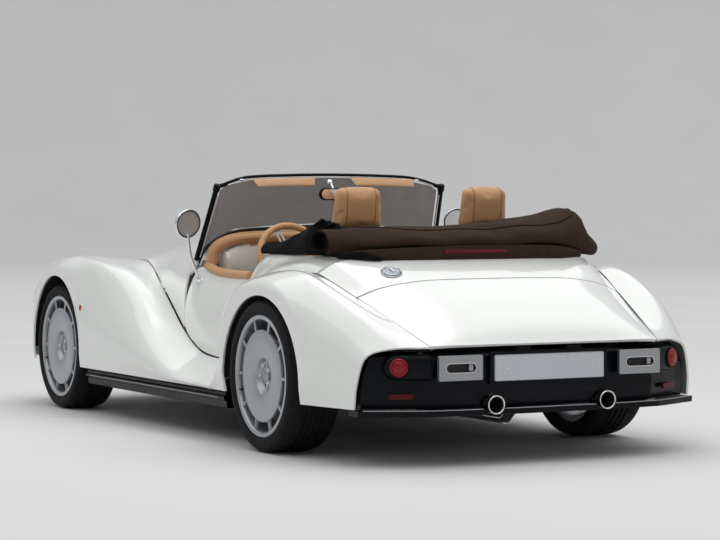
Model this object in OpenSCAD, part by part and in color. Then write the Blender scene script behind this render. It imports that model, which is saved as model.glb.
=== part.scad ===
// Two-seat roadster with separate wings, long bonnet and folded soft top.
// Frame: +X forward, +Y left, +Z up, ground at z = 0, all sizes in mm.

/* [Body] */
// Distance between the axles
wheelbase = 2520; // [2200:10:2900]
// Front axle ahead of the middle of the car
front_axle_x = 1405; // [1200:5:1600]
// Half width at the widest part of the wings
half_width = 902; // [800:1:950]
// Lower edge of the painted body
body_bottom = 235; // [180:1:300]
// Half length of the front and rear wheel arches
arch_x = [345, 390];
// Height of the front and rear wheel arches above their centres
arch_h = [385, 373];
// Height of the arch centres, front and rear
arch_z = [305, 298];
// Thickness of the body skins
skin = 9; // [4:0.5:20]
// Thickness of a door
door_t = 62; // [30:1:90]

/* [Wheels] */
// Wheel rim radius at the outer ring
rim_r = 262; // [200:1:290]
// Front tyre radius
tyre_r_front = 323; // [280:1:350]
// Rear tyre radius
tyre_r_rear = 327; // [280:1:360]
// Front tyre width
tyre_w_front = 225; // [165:1:275]
// Rear tyre width
tyre_w_rear = 245; // [165:1:305]
// Outer face of the front wheels from the centre line
wheel_face_f = 876; // [800:1:920]
// Outer face of the rear wheels from the centre line
wheel_face_r = 884; // [800:1:920]
// Wheel openings in one disc
wheel_slots = 10; // [6:1:16]

/* [Cabin] */
// Middle of a seat from the centre line
seat_y = 320; // [250:1:400]
// Seat width
seat_w = 440; // [400:1:560]
// Steering wheel rim radius
steer_r = 180; // [160:1:210]

/* [Tail] */
// Outer radius of the exhaust outlets
exhaust_r = 38; // [25:0.5:50]
// Bore radius of the exhaust outlets
exhaust_bore = 33; // [20:0.5:48]
// Exhaust outlets from the centre line
exhaust_y = 265; // [150:1:400]
// Height of the exhaust outlets
exhaust_z = 249; // [180:1:300]
// Radius of a round tail lamp
lamp_r = 42; // [30:1:60]
// Width of the number plate
plate_w = 520; // [300:1:540]
// Height of the number plate
plate_h = 110; // [80:1:160]

/* [Hidden] */
rear_axle_x = front_axle_x - wheelbase;
fx = front_axle_x - 2;
rx = rear_axle_x + 2;
bb = body_bottom;
hub_f = tyre_r_front;
hub_r = tyre_r_rear;
white = [0.93, 0.93, 0.9];
black = [0.06, 0.06, 0.07];
silver = [0.72, 0.73, 0.75];
tan_hide = [0.72, 0.5, 0.3];
canvas = [0.17, 0.11, 0.09];
rubber = [0.08, 0.08, 0.08];
glass = [0.5, 0.52, 0.55, 0.5];
red = [0.6, 0.04, 0.05];

// ---- curve helpers: tables are rows of [u, x, y, z] ----
function seek(t, u, i = 0) = (i >= len(t) - 2 || u < t[i + 1][0]) ? i : seek(t, u, i + 1);
function slope(t, i) =
  i <= 0 ? (t[1] - t[0]) / (t[1][0] - t[0][0]) :
  i >= len(t) - 1 ? (t[i] - t[i - 1]) / (t[i][0] - t[i - 1][0]) :
  (t[i + 1] - t[i - 1]) / (t[i + 1][0] - t[i - 1][0]);
function smooth(t, u) =
  let (i = seek(t, u), h = t[i + 1][0] - t[i][0], s = (u - t[i][0]) / h)
  let (s2 = s * s, s3 = s2 * s)
  (2 * s3 - 3 * s2 + 1) * t[i] + (s3 - 2 * s2 + s) * h * slope(t, i)
  + (3 * s2 - 2 * s3) * t[i + 1] + (s3 - s2) * h * slope(t, i + 1);
function straight(t, u) =
  let (i = seek(t, u), s = (u - t[i][0]) / (t[i + 1][0] - t[i][0]))
  t[i] * (1 - s) + t[i + 1] * s;
// a point of the surface; its first c lines are straight between rows and the rest smooth
function at(t, u, v, c) =
  let (sec = [for (i = [0:len(t) - 1])
    let (q = i < c ? straight(t[i], u) : smooth(t[i], u)) [i, q[1], q[2], q[3]]])
  let (p = smooth(sec, v)) [p[1], p[2], p[3]];
function unit(v) = v / max(norm(v), 0.000001);
// grid of points, and the same grid moved along the surface normal
function grid(t, us, vs, c = 0) = [for (u = us) [for (v = vs) at(t, u, v, c)]];
// rows of lines from the left edge to the centre, repeated on the right
function both(t) = concat(t, [for (i = [len(t) - 2:-1:0])
  [for (q = t[i]) [q[0], q[1], -q[2], q[3]]]]);
function normal(g, i, j) =
  let (a = len(g) - 1, b = len(g[0]) - 1)
  unit(cross(g[min(i + 1, a)][j] - g[max(i - 1, 0)][j],
    g[i][min(j + 1, b)] - g[i][max(j - 1, 0)]));
function moved(g, d) = [for (i = [0:len(g) - 1])
  [for (j = [0:len(g[0]) - 1]) g[i][j] + d * normal(g, i, j)]];
// closed solid between two grids of the same size
module slab(o, n) {
  a = len(o);
  b = len(o[0]);
  k = a * b;
  rim = concat([for (j = [0:b - 1]) j], [for (i = [1:a - 1]) i * b + b - 1],
    [for (j = [b - 2:-1:0]) (a - 1) * b + j], [for (i = [a - 2:-1:1]) i * b]);
  m = len(rim);
  pts = concat([for (r = o) each r], [for (r = n) each r]);
  top = [for (i = [0:a - 2]) for (j = [0:b - 2]) for (s = [0:1])
    s == 0 ? [i * b + j, i * b + j + 1, (i + 1) * b + j + 1]
    : [i * b + j, (i + 1) * b + j + 1, (i + 1) * b + j]];
  low = [for (f = top) [f[0] + k, f[2] + k, f[1] + k]];
  side = [for (i = [0:m - 1]) for (s = [0:1]) let (p = rim[i], q = rim[(i + 1) % m])
    s == 0 ? [p, p + k, q + k] : [p, q + k, q]];
  polyhedron(points = pts, faces = concat(top, low, side), convexity = 6);
}
// skin of thickness |d| behind a surface: d > 0 where u runs forward, d < 0 where it runs back
module shell(t, us, vs, d, c = 0) {
  g = grid(t, us, vs, c);
  if (d > 0) slab(moved(g, d), g);
  if (d < 0) slab(g, moved(g, d));
}
module right() {
  mirror([0, 1, 0]) children();
}
module lie(x, y, z) {
  translate([x, y, z]) rotate([-90, 0, 0]) children();
}
module bar(p, q, r) {
  d = q - p;
  l = norm(d);
  translate(p) rotate([0, acos(d[2] / l), atan2(d[1], d[0])]) cylinder(r = r, h = l, $fn = 40);
}

// ---- body lines, left half ----
// lip of wheel arch e (0 front, 1 rear), from u0 to u1
function arch(e, cx, u0, u1, y) = [for (k = [0:12])
  [u0 + (u1 - u0) * k / 12, cx - arch_x[e] * cos(k * 15), y, arch_z[e] + arch_h[e] * sin(k * 15)]];
wing_f = [
  concat([[0, -556, 864, bb], [6, fx - arch_x[0], 886, bb]],
    arch(0, fx, 6.25, 12.75, 892), [[13, fx + arch_x[0], 884, bb + 5]]),
  [[0, -556, 872, 241], [2, -44, 880, 268], [3, 202, 891, 322], [4, 458, 898, 378],
    [5, 725, half_width, 430], [6, 990, half_width, 480], [7, 1058, 901, 575], [8, 1136, 899, 660],
    [9.5, 1405, 896, 718], [11, 1700, 893, 610], [12, 1775, 884, 480], [13, 1800, 870, 240]],
  [[0, -556, 852, 248], [1, -300, 850, 262], [2, -44, 848, 309], [3, 202, 848, 414],
    [4, 458, 848, 532], [5, 725, 854, 660], [6, 932, 860, 732], [8, 1140, 866, 752],
    [9.5, 1410, 866, 752], [11, 1740, 852, 660], [12, 1910, 822, 515], [13, 1950, 796, 240]],
  [[0, -556, 775, 290], [1, -300, 775, 300], [2, -44, 775, 336], [3, 202, 775, 440],
    [4, 458, 775, 604], [5, 680, 776, 722], [6, 905, 778, 767], [8, 1188, 778, 793],
    [9.5, 1430, 775, 787], [10.5, 1655, 760, 764], [11, 1815, 750, 722],
    [12, 2020, 725, 560], [13, 2048, 700, 240]],
  [[0, -556, 690, 346], [1, -300, 692, 346], [2, -44, 690, 366], [3, 202, 674, 455],
    [4, 458, 632, 562], [5, 700, 590, 662], [6, 930, 548, 746], [8, 1160, 505, 770],
    [9.5, 1430, 455, 745], [11, 1780, 385, 660], [12, 1975, 345, 520], [13, 2030, 330, 240]]
];
wing_r = [
  concat([[0, -550, 864, bb], [1, rx + arch_x[1], 870, bb]],
    [for (q = arch(1, rx, 1.25, 7.75, 884)) [q[0], 2 * rx - q[1], q[2], q[3]]],
    [[8, rx - arch_x[1], 876, bb], [9, -1850, 806, bb]]),
  [[0, -550, 872, 241], [1, -690, 882, 360], [2, -722, 888, 520], [3, -846, 891, 645],
    [4.5, rx, 891, 704], [6, -1380, 890, 645], [7, -1510, 885, 520], [8, -1620, 876, 400],
    [9, -1862, 802, 330]],
  [[0, -550, 852, 248], [1, -676, 858, 420], [2, -716, 862, 600], [3, -850, 864, 700],
    [4.5, rx, 865, 742], [6, -1350, 864, 705], [7, -1530, 855, 622], [8, -1690, 838, 535],
    [9, -1880, 768, 445]],
  [[0, -550, 775, 290], [1, -640, 780, 520], [2, -715, 783, 650], [3, -850, 784, 728],
    [4.5, -1100, 784, 772], [6, -1350, 780, 765], [7, -1560, 765, 700], [8, -1740, 735, 612],
    [9, -1925, 680, 480]],
  [[0, -550, 690, 346], [1, -590, 696, 540], [2, -690, 702, 660], [3, -840, 706, 728],
    [4.5, -1090, 708, 765], [6, -1310, 697, 759], [7, -1563, 641, 667], [8, -1770, 596, 587],
    [9, -2008, 546, 488]]
];
us_f = concat([0, 0.7, 1.4, 2, 2.5, 3, 3.5, 4, 4.5, 5, 5.5, 6],
  [for (k = [0:12]) 6.25 + k * 6.5 / 12], [13]);
us_r = concat([0, 0.5, 1], [for (k = [0:12]) 1.25 + k * 6.5 / 12], [8, 8.5, 9]);
vs_w = [0, 0.5, 1, 1.5, 2, 2.4, 2.8, 3.2, 3.6, 4];

// ---- running gear ----
module rim(r, w) {
  d = w - 40;
  rotate_extrude($fn = 96) polygon([[r - 20, -d], [r, -d], [r, -d + 12], [r - 14, -d + 20],
    [r - 22, -d / 2], [r - 14, -20], [r, -12], [r, 0], [r - 20, 2], [r - 23, -10], [r - 34, -d / 2],
    [r - 30, -d + 10]]);
  rotate_extrude($fn = 96) polygon([[26, -66], [62, -64], [74, -14], [110, -6], [r - 66, -4],
    [r - 64, -22], [110, -26], [84, -34], [72, -86], [26, -86]]);
  for (i = [0:wheel_slots - 1]) rotate([0, 0, i * 360 / wheel_slots])
    translate([r - 71, -7, -19.5]) cube([53, 14, 14]);
}
module wheel(x, z, w, y, s) {
  translate([x, s * (y - 6), z]) rotate([-90 * s, 0, 0]) rim(rim_r, w);
}
module tyre(x, z, r, w, y, s) {
  c = w / 2;
  b = rim_r + 0.6;
  translate([x, s * (y + 4 - c), z]) rotate([-90 * s, 0, 0])
    rotate_extrude($fn = 96) polygon([[b, -c + 12], [b + 26, -c + 2], [r - 22, -c + 4],
      [r - 6, -c + 20], [r, -c + 50], [r, c - 50], [r - 6, c - 20], [r - 22, c - 4], [b + 26, c - 2],
      [b, c - 10], [b, c - 30], [b + 20, c - 16], [r - 24, c - 18], [r - 14, c - 40],
      [r - 14, -c + 40], [r - 24, -c + 18], [b + 20, -c + 16], [b, -c + 32]]);
}
module wheel_front_left() {
  color(silver) wheel(front_axle_x, hub_f, tyre_w_front, wheel_face_f, 1);
}
module wheel_front_right() {
  color(silver) wheel(front_axle_x, hub_f, tyre_w_front, wheel_face_f, -1);
}
module wheel_rear_left() {
  color(silver) wheel(rear_axle_x, hub_r, tyre_w_rear, wheel_face_r, 1);
}
module wheel_rear_right() {
  color(silver) wheel(rear_axle_x, hub_r, tyre_w_rear, wheel_face_r, -1);
}
module tyre_front_left() {
  color(rubber) tyre(front_axle_x, hub_f, tyre_r_front, tyre_w_front, wheel_face_f, 1);
}
module tyre_front_right() {
  color(rubber) tyre(front_axle_x, hub_f, tyre_r_front, tyre_w_front, wheel_face_f, -1);
}
module tyre_rear_left() {
  color(rubber) tyre(rear_axle_x, hub_r, tyre_r_rear, tyre_w_rear, wheel_face_r, 1);
}
module tyre_rear_right() {
  color(rubber) tyre(rear_axle_x, hub_r, tyre_r_rear, tyre_w_rear, wheel_face_r, -1);
}
module knuckle() {
  lie(front_axle_x, 690, hub_f) cylinder(r = 24, h = 150, $fn = 48);
  lie(front_axle_x, 690, hub_f) cylinder(r = 52, h = 34, $fn = 48);
  translate([front_axle_x, 700, hub_f - 108]) cylinder(r = 19, h = 234, $fn = 40);
  translate([front_axle_x - 120, 690, hub_f - 60]) cube([120, 20, 26]);
}
module knuckle_left() {
  color(silver) knuckle();
}
module knuckle_right() {
  color(silver) right() knuckle();
}
module front_suspension() {
  color(black) {
    translate([front_axle_x - 60, -340, 118]) cube([120, 680, 30]);
    for (s = [-1, 1]) {
      translate([front_axle_x - 56, s * 322 - 18, 130]) cube([112, 36, 370]);
      bar([front_axle_x - 42, s * 330, 195], [front_axle_x - 9, s * 684, hub_f - 128], 13);
      bar([front_axle_x + 42, s * 330, 195], [front_axle_x + 9, s * 684, hub_f - 128], 13);
      translate([front_axle_x, s * 695, hub_f - 145]) cylinder(r = 32, h = 32, $fn = 40);
      bar([front_axle_x - 32, s * 330, 470], [front_axle_x - 8, s * 686, hub_f + 145], 10);
      bar([front_axle_x + 32, s * 330, 470], [front_axle_x + 8, s * 686, hub_f + 145], 10);
      translate([front_axle_x, s * 695, hub_f + 132]) cylinder(r = 28, h = 26, $fn = 40);
      bar([front_axle_x, s * 336, 460], [front_axle_x, s * 560, 205], 28);
    }
  }
}
module rear_suspension() {
  color(black) {
    translate([rear_axle_x - 100, -130, hub_r - 90]) cube([220, 260, 170]);
    lie(rear_axle_x, -840, hub_r) cylinder(r = 23, h = 1680, $fn = 40);
    translate([rear_axle_x - 50, -346, 168]) cube([100, 692, 40]);
    translate([rear_axle_x - 45, -60, 200]) cube([90, 120, 80]);
    for (s = [-1, 1]) {
      lie(rear_axle_x, s * 705 - 20, hub_r) cylinder(r = 74, h = 40, $fn = 48);
      bar([rear_axle_x - 32, s * 322, 192], [rear_axle_x - 16, s * 700, hub_r - 52], 14);
      bar([rear_axle_x + 32, s * 322, 192], [rear_axle_x + 16, s * 700, hub_r - 52], 14);
      bar([rear_axle_x, s * 100, hub_r + 62], [rear_axle_x, s * 700, hub_r + 52], 11);
      bar([rear_axle_x + 2, s * 590, 240], [rear_axle_x + 2, s * 484, 580], 27);
      translate([rear_axle_x - 46, s * 328 - 18, 188]) cube([92, 36, 440]);
      translate([rear_axle_x - 46, s * 418 - 104, 604]) cube([92, 208, 30]);
      translate([rear_axle_x - 40, s * 482 - 38, 560]) cube([84, 76, 60]);
    }
  }
}
module engine_block() {
  color(silver) translate([720, -236, 262]) cube([520, 472, 438]);
}
module chassis() {
  color(black) {
    difference() {
      translate([-760, -690, 150]) cube([1040, 1380, 180]);
      translate([-780, -610, 176]) cube([1040, 1220, 180]);
    }
    translate([-950, -600, 150]) cube([200, 1200, 26]);
    translate([-950, -600, 150]) cube([15, 1200, 560]);
    translate([260, -300, 150]) cube([1700, 60, 110]);
    translate([260, 240, 150]) cube([1700, 60, 110]);
    translate([260, -600, 150]) cube([20, 1200, 540]);
    for (s = [-1, 1]) translate([-1880, s * 400 - 30, 425]) cube([940, 60, 65]);
    translate([-930, -75, 170]) cube([1195, 150, 190]);
  }
}

// bonnet, left half: wing joint, side, shoulder, top, centre
bonnet_l = [
  [[3, 218, 668, 468], [4, 458, 627, 568], [5, 700, 585, 668], [6, 930, 543, 751],
    [8, 1160, 500, 775], [9.5, 1430, 450, 750], [11, 1765, 380, 668], [12, 1930, 350, 580]],
  [[3, 196, 662, 690], [4, 458, 607, 745], [5, 715, 545, 775], [6, 950, 490, 790],
    [8, 1170, 430, 790], [9.5, 1440, 375, 758], [11, 1775, 305, 676], [12, 1948, 275, 594]],
  [[3, 190, 570, 872], [4, 458, 505, 862], [5, 725, 440, 846], [6, 960, 385, 832],
    [8, 1175, 335, 812], [9.5, 1445, 285, 770], [11, 1785, 225, 690], [12, 1965, 200, 612]],
  [[3, 190, 330, 928], [4, 458, 290, 902], [5, 725, 250, 878], [6, 965, 215, 855],
    [8, 1180, 185, 830], [9.5, 1450, 155, 786], [11, 1795, 120, 708], [12, 1985, 105, 626]],
  [[3, 190, 0, 942], [4, 458, 0, 914], [5, 725, 0, 889], [6, 970, 0, 863],
    [8, 1185, 0, 837], [9.5, 1455, 0, 793], [11, 1800, 0, 716], [12, 1993, 0, 632]]
];
// strip between bonnet and windscreen
scuttle_l = [
  [[0, 160, 646, 742], [1, 188, 654, 724]],
  [[0, 148, 613, 815], [1, 185, 622, 800]],
  [[0, 142, 560, 879], [1, 185, 568, 874]],
  [[0, 129, 330, 934], [1, 185, 330, 929]],
  [[0, 119, 0, 948], [1, 185, 0, 943]]
];
door_l = [
  [[0, 211, 668, 477], [1, 116, 683, 430], [2, -44, 690, 374], [3, -220, 692, 354],
    [4, -380, 692, 352], [5, -466, 691, 370]],
  [[0, 189, 676, 560], [1, 102, 688, 530], [2, -44, 696, 490], [3, -220, 698, 475],
    [4, -380, 698, 475], [5, -490, 696, 490]],
  [[0, 156, 666, 660], [1, 80, 676, 655], [2, -50, 684, 625], [3, -220, 686, 612],
    [4, -380, 686, 612], [5, -496, 685, 615]],
  [[0, 104, 644, 752], [1, 40, 645, 762], [2, -50, 646, 738], [3, -220, 646, 724],
    [4, -380, 646, 722], [5, -496, 644, 722]]
];
quarter_l = [
  [[0, -476, 691, 357], [1, -541, 690, 362], [2, -581, 694, 542], [3, -682, 700, 665],
    [4, -838, 704, 734], [5, -1090, 706, 771], [6, -1292, 697, 767]],
  [[0, -496, 696, 480], [1, -545, 694, 490], [2, -592, 692, 610], [3, -692, 694, 704],
    [4, -842, 692, 766], [5, -1090, 688, 796], [6, -1298, 676, 785]],
  [[0, -502, 685, 612], [1, -548, 682, 640], [2, -600, 672, 716], [3, -702, 662, 772],
    [4, -850, 652, 800], [5, -1092, 645, 815], [6, -1308, 632, 802]],
  [[0, -502, 646, 722], [1, -540, 628, 782], [2, -610, 606, 828], [3, -720, 600, 836],
    [4, -880, 600, 834], [5, -1096, 595, 831], [6, -1322, 580, 818]],
  [[0, -502, 606, 716], [1, -540, 580, 776], [2, -610, 556, 826], [3, -720, 550, 836],
    [4, -880, 550, 836], [5, -1098, 545, 834], [6, -1330, 530, 822]]
];
deck_l = [
  [[0, -1299, 691, 767], [1, -1428, 667, 720], [2, -1548, 640, 673]],
  [[0, -1325, 590, 819], [1, -1450, 560, 770], [2, -1570, 530, 713]],
  [[0, -1370, 400, 828], [1, -1480, 380, 786], [2, -1590, 370, 737]],
  [[0, -1395, 200, 828], [1, -1492, 200, 790], [2, -1598, 200, 743]],
  [[0, -1402, 0, 828], [1, -1496, 0, 791], [2, -1600, 0, 744]]
];
lid_l = [
  [[0, -1554, 637, 670], [1, -1763, 590, 586], [2, -1930, 555, 519], [3, -2003, 540, 490]],
  [[0, -1576, 528, 710], [1, -1775, 500, 622], [2, -1950, 470, 537], [3, -2018, 460, 492]],
  [[0, -1596, 370, 734], [1, -1788, 350, 648], [2, -1962, 330, 552], [3, -2026, 330, 492]],
  [[0, -1604, 200, 740], [1, -1796, 180, 656], [2, -1968, 170, 560], [3, -2030, 170, 492]],
  [[0, -1606, 0, 741], [1, -1800, 0, 658], [2, -1970, 0, 562], [3, -2032, 0, 492]]
];
vs_b = [0, 0.5, 1, 1.5, 2, 2.5, 3, 3.5, 4, 4.5, 5, 5.5, 6, 6.5, 7, 7.5, 8];

// ---- painted body ----
module lamp_place() {
  translate([1872, 560, 520]) rotate([0, 74, 4]) children();
}
module front_wing() {
  difference() {
    shell(wing_f, us_f, vs_w, skin, 1);
    lamp_place() cylinder(r = 98, h = 320, $fn = 64);
  }
}
module front_wing_left() {
  color(white) front_wing();
}
module front_wing_right() {
  color(white) right() front_wing();
}
module rear_wing() {
  shell(wing_r, us_r, vs_w, -skin, 1);
}
module rear_wing_left() {
  color(white) rear_wing();
}
module rear_wing_right() {
  color(white) right() rear_wing();
}
module bonnet() {
  color(white) shell(both(bonnet_l), [3, 3.5, 4, 4.5, 5, 5.5, 6, 7, 8, 8.75, 9.5, 10.25, 11, 11.5, 12],
    vs_b, 10);
}
module scuttle() {
  color(white) shell(both(scuttle_l), [0, 1], vs_b, 14);
}
opening = [[-128, 286], [128, 286], [190, 322], [200, 430], [168, 520], [98, 562], [0, 574],
  [-98, 562], [-168, 520], [-200, 430], [-190, 322]];
module nose() {
  color(white) translate([1965, 0, 0]) rotate([90, 0, 90]) difference() {
    linear_extrude(height = 90) polygon([[-318, 240], [-150, 224], [150, 224], [318, 240],
      [330, 400], [322, 510], [262, 556], [180, 580], [0, 592], [-180, 580], [-262, 556],
      [-322, 510], [-330, 400]]);
    translate([0, 0, -1]) linear_extrude(height = 92) polygon(opening);
  }
}
module grille() {
  color(silver) translate([1990, 0, 0]) rotate([90, 0, 90]) difference() {
    linear_extrude(height = 36) polygon([for (q = opening) [q[0] * 0.985, 430 + (q[1] - 430) * 0.985]]);
    for (i = [-7:7]) translate([i * 22 - 8, 306, 8]) cube([16, 246 - i * i * 1.6, 40]);
  }
}
module headlamp() {
  lamp_place() {
    cylinder(r = 92, h = 120, $fn = 64);
    translate([0, 0, 119]) cylinder(r1 = 92, r2 = 66, h = 26, $fn = 64);
  }
}
module headlamp_left() {
  color(glass) headlamp();
}
module headlamp_right() {
  color(glass) right() headlamp();
}
module door() {
  shell(door_l, [5, 4.5, 4, 3.5, 3, 2.5, 2, 1.5, 1, 0.5, 0], [0, 0.5, 1, 1.5, 2, 2.5, 3], door_t);
}
module door_left() {
  color(white) door();
}
module door_right() {
  color(white) right() door();
}
module quarter() {
  shell(quarter_l, [0, 0.5, 1, 1.5, 2, 2.5, 3, 3.5, 4, 4.5, 5, 5.5, 6],
    [0, 0.5, 1, 1.5, 2, 2.5, 3, 3.5, 4], -14);
}
module quarter_left() {
  color(white) quarter();
}
module quarter_right() {
  color(white) right() quarter();
}
module cap_place() {
  translate([-1452, 450, 779]) rotate([-8, -22, 0]) children();
}
module rear_deck() {
  color(white) difference() {
    shell(both(deck_l), [0, 0.5, 1, 1.5, 2], vs_b, -12);
    cap_place() translate([0, 0, -60]) cylinder(r = 48, h = 120, $fn = 64);
  }
}
module boot_lid() {
  color(white) shell(both(lid_l), [0, 0.5, 1, 1.5, 2, 2.5, 3], vs_b, -14);
}
// ---- tail ----
tail_x = [[-800, -1858], [-740, -1886], [-640, -1940], [-545, -1986], [-400, -2006], [-200, -2016],
  [0, -2018], [200, -2016], [400, -2006], [545, -1986], [640, -1940], [740, -1886], [800, -1858]];
module tail_panel() {
  g = [for (q = tail_x) [[q[1] + 14, q[0] * 0.965, 236], [q[1] + 4, q[0] * 0.97, 300],
    [q[1], q[0] * 0.955, 380], [q[1] + 4, q[0] * 0.92, 446], [q[1] + 14, q[0] * 0.89, 464]]];
  n = [for (r = g) [for (p = r) p + [24, 0, 0]]];
  lip = [for (q = tail_x) [q[1] - 26, q[0] * 1.005]];
  color(black) difference() {
    union() {
      slab(n, g);
      translate([0, 0, 208]) linear_extrude(height = 24) polygon(concat(lip,
        [for (i = [12:-1:0]) [tail_x[i][1] + 60, tail_x[i][0] * 1.005]]));
    }
    for (s = [-1, 1]) {
      translate([-1900, s * exhaust_y, exhaust_z]) rotate([0, -90, 0])
        cylinder(r = exhaust_r + 6, h = 200, $fn = 64);
      translate([-1943, s * 646, 405]) rotate([0, -90, -s * 27]) translate([0, 0, -50])
        cylinder(r = lamp_r + 2, h = 100, $fn = 64);
    }
  }
}
module exhaust() {
  color(silver) {
    for (s = [-1, 1]) translate([-1690, s * exhaust_y, exhaust_z]) rotate([0, -90, 0]) difference() {
      cylinder(r = exhaust_r, h = 365, $fn = 64);
      translate([0, 0, 165]) cylinder(r = exhaust_bore, h = 201, $fn = 64);
    }
    translate([-1700, -330, 190]) cube([230, 660, 115]);
    bar([-1480, -200, 230], [-1330, -200, 118], 25);
    bar([-1336, -200, 118], [776, -200, 118], 25);
    translate([776, -200, 118]) cylinder(r = 25, h = 140, $fn = 40);
    translate([776, -200, 118]) sphere(r = 25, $fn = 40);
  }
}
module tail_lamp() {
  translate([-1943, 646, 405]) rotate([0, -90, -27]) translate([0, 0, -40]) {
    cylinder(r = lamp_r - 2, h = 58, $fn = 64);
    translate([0, 0, 57]) cylinder(r1 = lamp_r - 2, r2 = lamp_r - 14, h = 9, $fn = 64);
  }
}
module tail_lamp_left() {
  color(red) tail_lamp();
}
module tail_lamp_right() {
  color(red) right() tail_lamp();
}
module tail_housing() {
  translate([-2052, 345, 345]) difference() {
    cube([30, 180, 108]);
    translate([-1, 40, 38]) cube([22, 100, 32]);
  }
}
module tail_housing_left() {
  color(silver) tail_housing();
}
module tail_housing_right() {
  color(silver) right() tail_housing();
}
module number_plate() {
  color(white) translate([-2034, -plate_w / 2, 340]) difference() {
    cube([10, plate_w, plate_h]);
    for (s = [-1, 1]) translate([-1, plate_w / 2 + s * 200, plate_h / 2]) rotate([0, 90, 0])
      cylinder(r = 3.5, h = 12, $fn = 32);
  }
}
module filler_cap() {
  color(silver) cap_place() {
    translate([0, 0, -12]) cylinder(r = 45, h = 18, $fn = 64);
    translate([0, 0, 5.5]) cylinder(r1 = 43, r2 = 30, h = 8, $fn = 64);
  }
}

// ---- cabin ----
// windscreen: rows across the car of [y, x low, z low, x high, z high]
screen = [[-636, 128, 770, -30, 1118], [-585, 124, 862, -22, 1150], [-450, 116, 930, -8, 1176],
  [-225, 104, 948, 5, 1185], [0, 100, 955, 9, 1188], [225, 104, 948, 5, 1185],
  [450, 116, 930, -8, 1176], [585, 124, 862, -22, 1150], [636, 128, 770, -30, 1118]];
function edge_low(q) = [q[1], q[0], q[2]];
function edge_top(q) = [q[3], q[0] * 0.94, q[4]];
module windscreen_glass() {
  rows = [for (q = screen) abs(q[0]) > 600 ? [sign(q[0]) * 616, 127, 808, -27, 1130] : q];
  g = [for (q = rows) [for (k = [0.035, 0.35, 0.66, 0.975]) edge_low(q) * (1 - k) + edge_top(q) * k]];
  n = [for (r = g) [for (p = r) p + [6, 0, 2]]];
  color(glass) slab(n, g);
}
module rail(line, a, b) {
  slab([for (p = line) [p + [-a, 0, b], p + [-a, 0, -b]]], [for (p = line) [p + [a, 0, b], p + [a, 0, -b]]]);
}
module windscreen_frame() {
  color(black) {
    for (s = [-1, 1]) bar([139, s * 641, 776], [-30, s * 602, 1136], 13);
    rail([for (q = screen) edge_top(q) + [2, 0, 8]], 11, 9);
    rail([for (q = screen) edge_low(q) + [4, 0, -6]], 11, 9);
  }
}
module dashboard() {
  color(tan_hide) {
    translate([0, 570, 0]) rotate([90, 0, 0]) linear_extrude(height = 1140)
      polygon([[84, 780], [60, 846], [-40, 852], [-66, 836], [-60, 760], [-20, 600], [84, 600]]);
    translate([0, 400, 0]) rotate([90, 0, 0]) linear_extrude(height = 800)
      polygon([[74, 840], [74, 905], [-20, 915], [-64, 895], [-70, 840]]);
  }
}
module steer_place() {
  translate([-370, 370, 805]) rotate([0, -68, 0]) children();
}
module steering_wheel() {
  color(tan_hide) steer_place() {
    rotate_extrude($fn = 96) translate([steer_r - 16, 0]) circle(r = 15, $fn = 32);
    translate([0, 0, -34]) cylinder(r = 36, h = 40, $fn = 48);
    for (a = [20, 160, 270]) rotate([0, 0, a]) translate([20, -12, -8]) cube([steer_r - 32, 24, 8]);
  }
}
module steering_column() {
  color(black) steer_place() {
    translate([0, 0, -310]) cylinder(r = 24, h = 268, $fn = 48);
    translate([-45, -40, -190]) cube([90, 80, 120]);
  }
}
module seat() {
  translate([0, seat_y + seat_w / 2, 0]) rotate([90, 0, 0]) linear_extrude(height = seat_w)
    polygon([[-190, 177], [-184, 320], [-210, 348], [-320, 350], [-540, 330], [-610, 345],
      [-650, 420], [-740, 700], [-790, 860], [-820, 890], [-862, 892], [-884, 870], [-858, 740],
      [-780, 420], [-740, 270], [-700, 177]]);
}
module seat_left() {
  color(tan_hide) seat();
}
module seat_right() {
  color(tan_hide) right() seat();
}
module headrest() {
  translate([-960, seat_y - 111, 942]) rotate([0, -8, 0]) cube([86, 222, 178]);
  for (s = [-1, 1]) translate([-858, seat_y + s * 50, 897]) rotate([0, -30, 0])
    cylinder(r = 7, h = 70, $fn = 24);
}
module headrest_left() {
  color(tan_hide) headrest();
}
module headrest_right() {
  color(tan_hide) right() headrest();
}
// folded hood: rows across the car of [y, front x, rear x, low z, top z]
hood = [[-764, -1085, -1235, 838, 888], [-735, -1030, -1270, 836, 925], [-685, -985, -1315, 836, 985],
  [-620, -965, -1350, 841, 1022], [-560, -960, -1372, 841, 1030], [-460, -985, -1388, 838, 1003],
  [-330, -1005, -1398, 838, 968], [-200, -1010, -1405, 839, 948], [0, -1010, -1412, 840, 936],
  [200, -1010, -1405, 839, 941], [400, -1005, -1392, 838, 955], [540, -960, -1372, 842, 972],
  [620, -880, -1335, 842, 968], [690, -850, -1240, 842, 930], [735, -870, -1150, 845, 888]];
hood_s = [0, 0.05, 0.2, 0.45, 0.7, 0.92, 1];
hood_h = [0.1, 0.55, 0.9, 1, 0.97, 0.7, 0.1];
module soft_top() {
  up = [for (q = hood) [for (k = [0:6])
    [q[1] + (q[2] - q[1]) * hood_s[k], q[0], q[3] + (q[4] - q[3]) * hood_h[k]]]];
  low = [for (q = hood) [for (k = [0:6]) [q[1] + (q[2] - q[1]) * hood_s[k], q[0], q[3]]]];
  color(canvas) slab(low, up);
}
module mirror_head() {
  bar([84, 688, 686], [38, 722, 925], 6);
  translate([62, 676, 672]) cube([44, 25, 28]);
  translate([38, 725, 965]) rotate([0, 80, 12]) {
    translate([0, 0, -14]) cylinder(r = 58, h = 18, $fn = 64);
    translate([0, 0, 3]) cylinder(r1 = 58, r2 = 26, h = 26, $fn = 64);
  }
}
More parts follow.
